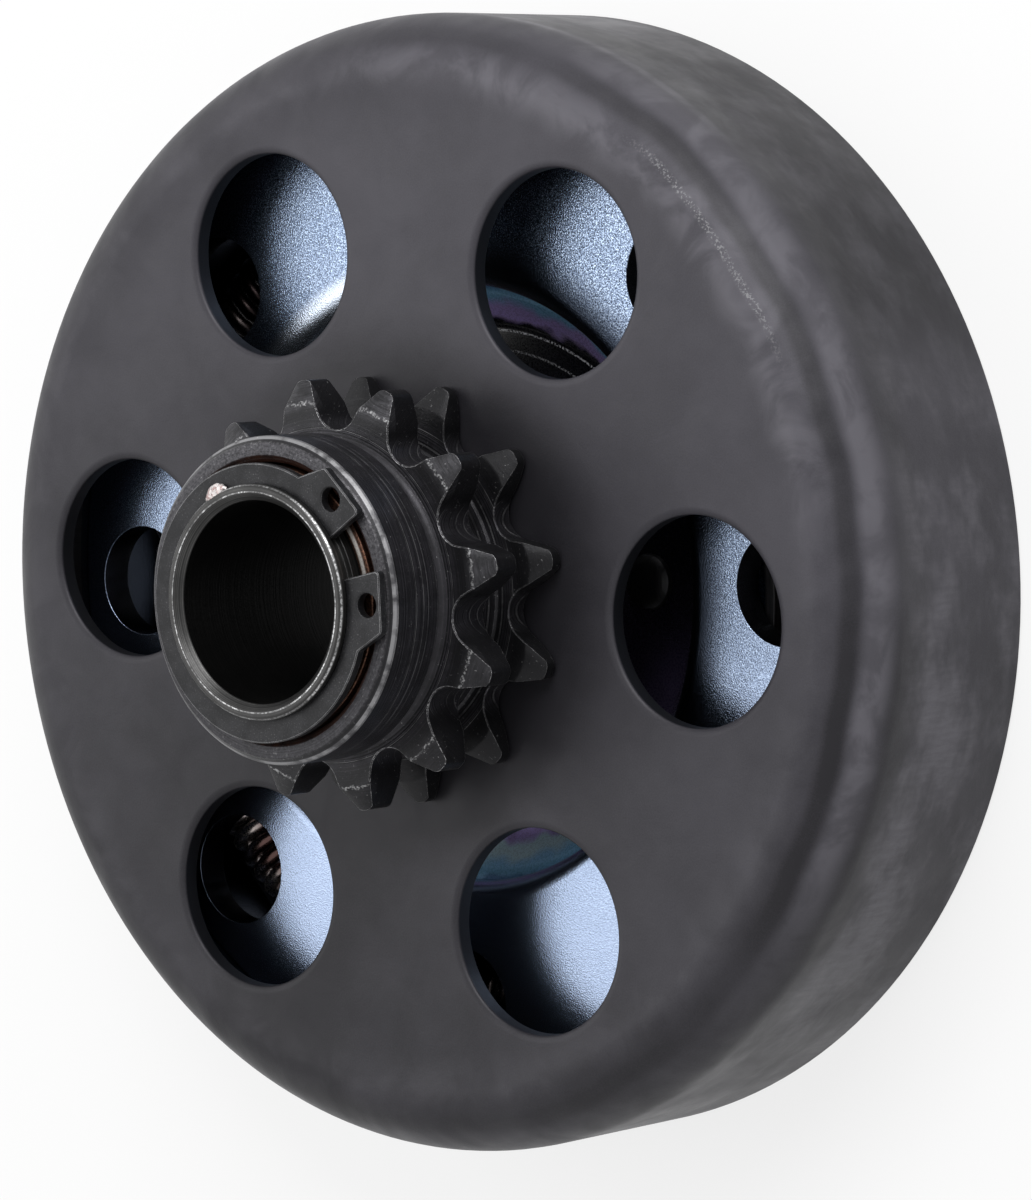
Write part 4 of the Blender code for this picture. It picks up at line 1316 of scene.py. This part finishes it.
@dataclass
class DriverAssembly:
    """Crankshaft hub with its retaining ring and washer, and the riveted plate and spider."""

    direction: float = 26.9
    ring_direction: float = 26.8
    bore: float = 9.525
    journal: float = 11.1
    boss: float = 15.5
    front: float = 45.9
    plate_radius: float = 35.2
    seat_radius: float = 15.8
    rivet_circle: float = 19.8
    rivet_hole: float = 1.8
    rivet_middle: float = 8.95
    rivets: int = 8
    floor_rear: float = 9.4
    floor_front: float = 11.0
    rim_rear: float = 12.7
    rim_front: float = 14.3
    notch_inner: float = 28.7
    notch_half: float = 3.8
    spider_rear: float = 6.9
    spider_front: float = 9.1
    lug_inner: float = 29.0
    lug_outer: float = 36.8
    lug_half: float = 3.5
    lug_rear: float = 3.5
    lug_front: float = 17.7
    past: float = 1.5
    ring_rear: float = 44.0
    ring_front: float = 45.0
    washer: tuple[float, ...] = (11.4, 15.2, 19.9, 21.1)
    shoulder: float = 19.6
    rear: float = 0.3
    lip: float = 0.07
    key_half: float = 2.38
    key_depth: float = 2.3
    burr_direction: float = 119.5
    burr_place: tuple[float, float] = (11.15, 45.3)
    burr_turn: float = 31.5
    burr_size: Corner = (1.5, 1.0, 0.55)

    def build(self) -> None:
        """Build and dress the driver's pieces."""
        hub_steel = TurnedSteel("turned_hub_steel", (0.018, 0.018, 0.018), (0.075, 0.074, 0.073),
                                marks=5.0, ring_radii=(10.36, 10.98),
                                bore=self.bore, ring_level=self.front - 0.45).material()
        inner_steel = TurnedSteel("inner_steel", (0.09, 0.09, 0.095), (0.22, 0.22, 0.23),
                                  rough=0.4, shine=0.4).material()
        rivet_steel = TurnedSteel("rivet_steel", (0.008, 0.008, 0.009), (0.022, 0.022, 0.024),
                                  rough=0.42, shine=0.05).material()
        self.build_hub(hub_steel)
        self.build_ring()
        self.build_washer(inner_steel)
        self.build_plate()
        self.build_spider(inner_steel)
        self.build_rivets(rivet_steel)
        self.build_burr()

    def build_hub(self, steel: bpy.types.Material) -> None:
        """Hub: chamfered bore, ring groove, journal, shoulder and keyed boss.

        Args:
            steel: finish of the piece.
        """
        groove = self.journal - 0.6
        section = rounded([
            (self.bore + 0.4, self.rear, 0.1), (self.bore, self.rear + 0.4, 0.1),
            (self.bore, self.front - 0.75, 0.08), (self.bore + 0.75, self.front, self.lip),
            (self.journal - 0.3, self.front, self.lip), (self.journal, self.front - 0.3, self.lip),
            (self.journal, self.ring_front + 0.15, 0.05), (groove, self.ring_front + 0.15, 0.05),
            (groove, self.ring_rear - 0.15, 0.05), (self.journal, self.ring_rear - 0.15, 0.1),
            (self.journal, self.shoulder, 0.3), (self.boss - 0.4, self.shoulder, 0.1),
            (self.boss, self.shoulder - 0.4, 0.1), (self.boss, self.rear + 0.4, 0.1),
            (self.boss - 0.4, self.rear, 0.1)], 22.5)
        hub = plain_object("crankshaft_hub", turned(section, 160))
        combined(hub, block((0, -self.key_half, -0.7),
                            (self.bore + self.key_depth, self.key_half, 18.3), self.direction + 90))
        dress(hub, steel, Slot.HUB, ("driver_hub",), Body.DRIVER)

    def build_ring(self) -> None:
        """Eccentric retaining ring with two pierced lugs beside its gap."""
        inner, outer, lug = 10.65, 13.15, 15.3
        gap, end, shoulder = 10.8, 32.7, 41.5
        eye_circle, eye_angle, eye_radius = 13.4, 23.2, 1.15
        upper = [(*polar(inner, gap), 0.25), (*polar(lug, gap), 0.45), (*polar(lug, end), 0.5)]
        lower = [(x, -y, radius) for x, y, radius in reversed(upper)]
        back = arc((-0.35, 0.0), outer, shoulder, 360 - shoulder, 90)
        inside = arc((0.0, 0.0), inner, -gap - 3.0, gap + 3.0 - 360, 110)
        outline = rounded(upper + [(x, y, 0.0) for x, y in back] + lower
                          + [(x, y, 0.0) for x, y in inside], 15.0)
        shape = prism(outline, self.ring_rear, self.ring_front, 0.10)
        pierce(shape, self.ring_front, self.ring_rear,
               [Hole(polar(eye_circle, angle), eye_radius, 0.2, 0.1, 48)
                for angle in (eye_angle, -eye_angle)])
        ring = plain_object("snap_ring", rotate(shape, self.ring_direction))
        dress(ring, StampedSteel().material(), Slot.RING, ("retaining_ring",), Body.DRIVER)

    def build_washer(self, steel: bpy.types.Material) -> None:
        """Thrust washer behind the bush."""
        dress(plain_object("thrust_washer", turned(slab(*self.washer), 96)), steel, Slot.HUB,
              ("rear_thrust_washer",), Body.DRIVER)

    def rivet_places(self) -> list[Point]:
        """Centres of the rivets."""
        return [polar(self.rivet_circle, self.direction + (index + 0.5) * 360 / self.rivets)
                for index in range(self.rivets)]

    def notch(self, inner: float, outer: float, half: float, low: float, high: float) -> Shape:
        """Two blocks on opposite sides of the axis, along the lugs' direction.

        Args:
            inner: distance of the near ends from the axis.
            outer: distance of the far ends.
            half: half the blocks' width.
            low: their lower level.
            high: their upper level.

        Returns:
            The two blocks as one shape.
        """
        shape = block((inner, -half, low), (outer, half, high), self.direction)
        other = block((inner, -half, low), (outer, half, high), self.direction + 180)
        mesh = bpy.data.meshes.new("half")
        other.to_mesh(mesh)
        other.free()
        shape.from_mesh(mesh)
        bpy.data.meshes.remove(mesh)
        return shape

    def build_plate(self) -> None:
        """Dished front plate, drawn in a soft S from its rim to its floor."""
        section = rounded([
            (self.seat_radius, self.floor_rear, 0.1), (25.5, self.floor_rear, 1.4),
            (29.1, self.rim_rear, 1.4), (self.plate_radius, self.rim_rear, 0.15),
            (self.plate_radius, self.rim_front, 0.15), (28.6, self.rim_front, 2.2),
            (25.0, self.floor_front, 0.9), (self.seat_radius, self.floor_front, 0.1)], 7.5)
        plate = plain_object("dished_plate", turned(section, 192))
        low = self.floor_rear - self.past
        combined(plate, bored(self.rivet_places(), self.rivet_hole, low, self.floor_front + self.past))
        combined(plate, self.notch(self.notch_inner, self.plate_radius + self.past, self.notch_half,
                                   low, self.rim_front + self.past))
        dress(plate, BluedSteel().material(), Slot.BLUED, ("front_driver_plate",), Body.DRIVER)

    def build_spider(self, steel: bpy.types.Material) -> None:
        """Flat disc with two lugs that stand between the shoes' ends.

        Args:
            steel: finish of the piece.
        """
        rear, front = self.spider_rear, self.spider_front
        section = rounded([(self.seat_radius, rear, 0.1), (self.plate_radius, rear, 0.15),
                           (self.plate_radius, front, 0.15), (self.seat_radius, front, 0.1)])
        spider = plain_object("lugged_spider", turned(section, 160))
        combined(spider, self.notch(self.lug_inner, self.lug_outer, self.lug_half, self.lug_rear,
                                    self.lug_front), "UNION")
        combined(spider, bored(self.rivet_places(), self.rivet_hole, rear - self.past,
                               front + self.past))
        dress(spider, steel, Slot.HUB, ("driver_spider",), Body.DRIVER)

    def build_rivets(self, steel: bpy.types.Material) -> None:
        """Round-headed rivets through the plate and the spider.

        Args:
            steel: finish of the rivets.
        """
        for index, (x, y) in enumerate(self.rivet_places()):
            half = [(1.5, 11.3), (2.7, 11.3), (2.6, 11.75), (2.2, 12.1), (1.5, 12.32), (0.02, 12.4)]
            section = [(radius, 2 * self.rivet_middle - z) for radius, z in reversed(half)] + half
            shape = turned(section, 32)
            bmesh.ops.translate(shape, verts=shape.verts, vec=(x * MM, y * MM, 0))
            dress(plain_object("rivet_%d" % (index + 1), shape), steel, Slot.RIVET,
                  ("driver_rivet_%d" % (index + 1),), Body.DRIVER, flat_faces=False)

    def build_burr(self) -> None:
        """Small bright burr on the hub's lip, over the ring."""
        shape = bmesh.new()
        radius, height = self.burr_place
        middle = Vector((*polar(radius, self.burr_direction), height)) * MM
        place = (Matrix.Translation(middle) @ Matrix.Rotation(math.radians(self.burr_turn), 4, "Z")
                 @ Matrix.Diagonal((*(Vector(self.burr_size) * MM), 1.0)))
        bmesh.ops.create_icosphere(shape, subdivisions=5, radius=1.0, matrix=place)
        for vert in shape.verts:
            spot = vert.co / MM
            wave = (math.sin(3.1 * spot.x + 1.0) + math.sin(3.7 * spot.y)
                    + math.sin(9.0 * spot.x - 7.0 * spot.y))
            vert.co = middle + (vert.co - middle) * (0.92 + 0.026 * wave)
        dress(plain_object("hub_burr", shape), BareLump().material(), Slot.HUB, (), Body.DRIVER,
              flat_faces=False)


@dataclass
class ShoeAssembly:
    """One channel-section shoe and the strip inside it that the garter spring bears on."""

    letter: str
    direction: float
    body: Body
    front: float = 18.0
    rear: float = 3.2
    sheet: float = 3.4
    outer_radius: float = 52.2
    inner_radius: float = 29.1
    bend: float = 4.0
    lip: float = 2.3
    hole_radius: float = 5.5
    hole_circle: float = 41.0
    hole_angles: tuple[float, ...] = (-67.5, -22.5, 22.5, 67.5)
    hole_edge: float = 0.1
    setback: float = 3.8
    strip: tuple[float, ...] = (35.9, 37.1, 6.9, 14.3)

    def build(self, steel: bpy.types.Material, strip_steel: bpy.types.Material) -> None:
        """Build and dress the shoe and its strip."""
        self.build_shoe(steel)
        self.build_strip(strip_steel)

    def build_shoe(self, steel: bpy.types.Material) -> None:
        """Channel with rolled inner lips and four round holes through both webs.

        Args:
            steel: finish of the piece.
        """
        channel_front, channel_rear = self.front - self.sheet, self.rear + self.sheet
        wall = self.outer_radius - self.sheet
        section = rounded([
            (self.outer_radius, self.rear, self.bend), (self.outer_radius, self.front, self.bend),
            (self.inner_radius, self.front, self.lip), (self.inner_radius, channel_front, 0.3),
            (wall, channel_front, 0.8), (wall, channel_rear, 0.8),
            (self.inner_radius, channel_rear, 0.3), (self.inner_radius, self.rear, self.lip)], 7.5)
        shape = half_ring(section, 120, self.setback)
        holes = [Hole(polar(self.hole_circle, angle), self.hole_radius, self.hole_edge,
                      self.hole_edge, 72) for angle in self.hole_angles]
        for front, rear in ((self.front, channel_front), (channel_rear, self.rear)):
            pierce(shape, front, rear, holes)
        piece = plain_object("shoe_channel_" + self.letter, rotate(shape, self.direction))
        dress(piece, steel, Slot.SHOE, ("shoe_" + self.letter,), self.body)

    def build_strip(self, steel: bpy.types.Material) -> None:
        """Strip between the webs, inside the garter spring.

        Args:
            steel: finish of the piece.
        """
        shape = half_ring(slab(*self.strip), 96, self.setback)
        piece = plain_object("spring_strip_" + self.letter, rotate(shape, self.direction))
        dress(piece, steel, Slot.HUB, ("spring_seat_" + self.letter,), self.body)


@dataclass
class GarterSpring:
    """Close-wound coil bent to a ring, in two halves that stretch apart with the shoes."""

    radius: float = 41.0
    height: float = 10.6
    coil_radius: float = 3.05
    wire: float = 1.6
    turns_in_half: int = 68
    points_in_turn: int = 16
    reach: float = 15.0

    def coil(self, name: str, direction: float) -> bpy.types.Object:
        """Half the coil as a mesh.

        Args:
            name: name of the piece.
            direction: direction of the shoe that holds it, in degrees.

        Returns:
            The object, its wire running from one gap between the shoes to the other.
        """
        curve = bpy.data.curves.new(name, "CURVE")
        curve.dimensions = "3D"
        curve.bevel_depth = self.wire / 2 * MM
        curve.bevel_resolution = 2
        curve.use_fill_caps = True
        count = self.turns_in_half * self.points_in_turn + 1
        spline = curve.splines.new("POLY")
        spline.points.add(count - 1)
        for index, point in enumerate(spline.points):
            share = index / (count - 1)
            across = 2 * math.pi * share * self.turns_in_half
            x, y = polar(self.radius + self.coil_radius * math.cos(across), direction - 90 + 180 * share)
            point.co = (x * MM, y * MM, (self.height + self.coil_radius * math.sin(across)) * MM, 1.0)
        holder = bpy.data.objects.new(name + "_path", curve)
        bpy.context.scene.collection.objects.link(holder)
        mesh = bpy.data.meshes.new_from_object(
            holder.evaluated_get(bpy.context.evaluated_depsgraph_get()))
        bpy.data.objects.remove(holder)
        piece = bpy.data.objects.new(name, mesh)
        bpy.context.scene.collection.objects.link(piece)
        return piece

    def build(self, shoes: list[ShoeAssembly]) -> None:
        """Build each half of the coil, attached to no body.

        Args:
            shoes: shoes that hold the spring.
        """
        wire = SpringWire().material()
        for shoe in shoes:
            piece = self.coil("garter_coil_" + shoe.letter, shoe.direction)
            dress(piece, wire, Slot.WIRE, ("garter_spring",), flat_faces=False, sharp=60.0)
            x, y = polar(self.reach, shoe.direction)
            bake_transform(piece)


# Surroundings

@dataclass
class Studio:
    """Pale floor, soft lights and the camera at the photograph's angle."""

    place: tuple[float, float, float] = (357.609, 56.851, 433.541)
    right: tuple[float, float, float] = (0.763828, 0.025135, -0.644931)
    up: tuple[float, float, float] = (-0.08728, 0.994085, -0.064627)
    lens: float = 170.28
    ambient: float = 0.50
    key_power: float = 5.6
    key_place: Corner = (0.22, 0.62, 0.55)
    key_size: float = 0.50
    side_share: float = 0.35
    side_place: Corner = (-0.55, 0.10, 0.60)
    side_size: float = 0.60
    aim_height: float = 0.02
    floor_tone: float = 0.86
    floor_glow: float = 0.78

    def build(self) -> None:
        """Set the view, the floor, the world, the lamps and the camera."""
        bpy.context.scene.view_settings.view_transform = "Standard"
        self.build_floor()
        self.build_world()
        self.build_lamp("key_lamp", self.key_place, self.key_size, self.key_power)
        self.build_lamp("side_lamp", self.side_place, self.side_size,
                        self.key_power * self.side_share)
        self.build_camera()

    def seen_directly(self, tree: bpy.types.NodeTree) -> Socket:
        """1 for rays from the camera, a gloss or glass, and 0 for the rest.

        Args:
            tree: node tree of the floor or the world.

        Returns:
            The share.
        """
        path = tree.nodes.new("ShaderNodeLightPath")
        seen = path.outputs["Is Camera Ray"]
        for kind in ("Is Glossy Ray", "Is Transmission Ray"):
            larger = tree.nodes.new("ShaderNodeMath")
            larger.operation = "MAXIMUM"
            tree.links.new(seen, larger.inputs[0])
            tree.links.new(path.outputs[kind], larger.inputs[1])
            seen = larger.outputs[0]
        return seen

    def build_floor(self) -> None:
        """White floor under the drum's rim that keeps its soft shadow."""
        shape = bmesh.new()
        place = Matrix.Translation((0, 0, -0.05 * MM))
        bmesh.ops.create_grid(shape, x_segments=1, y_segments=1, size=3.0, matrix=place)
        floor = plain_object("studio_floor", shape)
        material = bpy.data.materials.new("studio_floor")
        material.use_nodes = True
        tree = material.node_tree
        shader = tree.nodes["Principled BSDF"]
        shader.inputs["Base Color"].default_value = (*[self.floor_tone] * 3, 1.0)
        shader.inputs["Roughness"].default_value = 0.9
        glow = tree.nodes.new("ShaderNodeEmission")
        share = tree.nodes.new("ShaderNodeMath")
        share.operation = "MULTIPLY"
        share.inputs[1].default_value = self.floor_glow
        tree.links.new(self.seen_directly(tree), share.inputs[0])
        blend = tree.nodes.new("ShaderNodeMixShader")
        tree.links.new(share.outputs[0], blend.inputs[0])
        tree.links.new(shader.outputs[0], blend.inputs[1])
        tree.links.new(glow.outputs[0], blend.inputs[2])
        tree.links.new(blend.outputs[0], tree.nodes["Material Output"].inputs["Surface"])
        floor.data.materials.append(material)

    def build_world(self) -> None:
        """Even light all round, white where it is seen directly."""
        world = bpy.data.worlds.new("studio")
        bpy.context.scene.world = world
        world.use_nodes = True
        tree = world.node_tree
        strength = tree.nodes.new("ShaderNodeMapRange")
        strength.inputs["To Min"].default_value = self.ambient
        tree.links.new(self.seen_directly(tree), strength.inputs["Value"])
        background = tree.nodes["Background"]
        background.inputs["Color"].default_value = (1.0, 1.0, 1.0, 1.0)
        tree.links.new(strength.outputs["Result"], background.inputs["Strength"])

    def build_lamp(self, name: str, place: tuple[float, float, float], size: float,
                   power: float) -> None:
        """Square soft lamp in metres, aimed at the clutch.

        Args:
            name: name of the lamp.
            place: where it hangs, in metres.
            size: length of its side.
            power: its power in watts.
        """
        lamp = bpy.data.lights.new(name, "AREA")
        lamp.shape = "SQUARE"
        lamp.size = size
        lamp.energy = power
        item = bpy.data.objects.new(name, lamp)
        item.location = place
        aim = Vector((0.0, 0.0, self.aim_height)) - Vector(place)
        item.rotation_euler = aim.to_track_quat("-Z", "Y").to_euler()
        bpy.context.scene.collection.objects.link(item)

    def build_camera(self) -> None:
        """Camera from its measured place and axes."""
        data = bpy.data.cameras.new("photo_camera")
        data.lens = self.lens
        data.sensor_width = 36.0
        data.clip_start = 0.01
        data.clip_end = 20.0
        camera = bpy.data.objects.new("photo_camera", data)
        right, up = Vector(self.right).normalized(), Vector(self.up).normalized()
        axes = Matrix((right, up, right.cross(up))).transposed().to_4x4()
        camera.matrix_world = Matrix.Translation(Vector(self.place) * MM) @ axes
        bpy.context.scene.collection.objects.link(camera)
        bpy.context.scene.camera = camera


def main() -> None:
    """Build every sub-assembly."""
    logging.basicConfig(level=logging.INFO, format="%(message)s")
    Studio().build()
    DrumAssembly().build()
    DriverAssembly().build()
    shoe_steel = BlastedSteel().material()
    strip_steel = TurnedSteel("strip_steel", (0.010, 0.010, 0.011), (0.030, 0.029, 0.031),
                              rough=0.4, shine=0.1).material()
    shoes = [ShoeAssembly("a", 116.9, Body.SHOE_A), ShoeAssembly("b", 296.9, Body.SHOE_B)]
    for shoe in shoes:
        shoe.build(shoe_steel, strip_steel)
    GarterSpring().build(shoes)


if __name__ == "__main__":
    main()
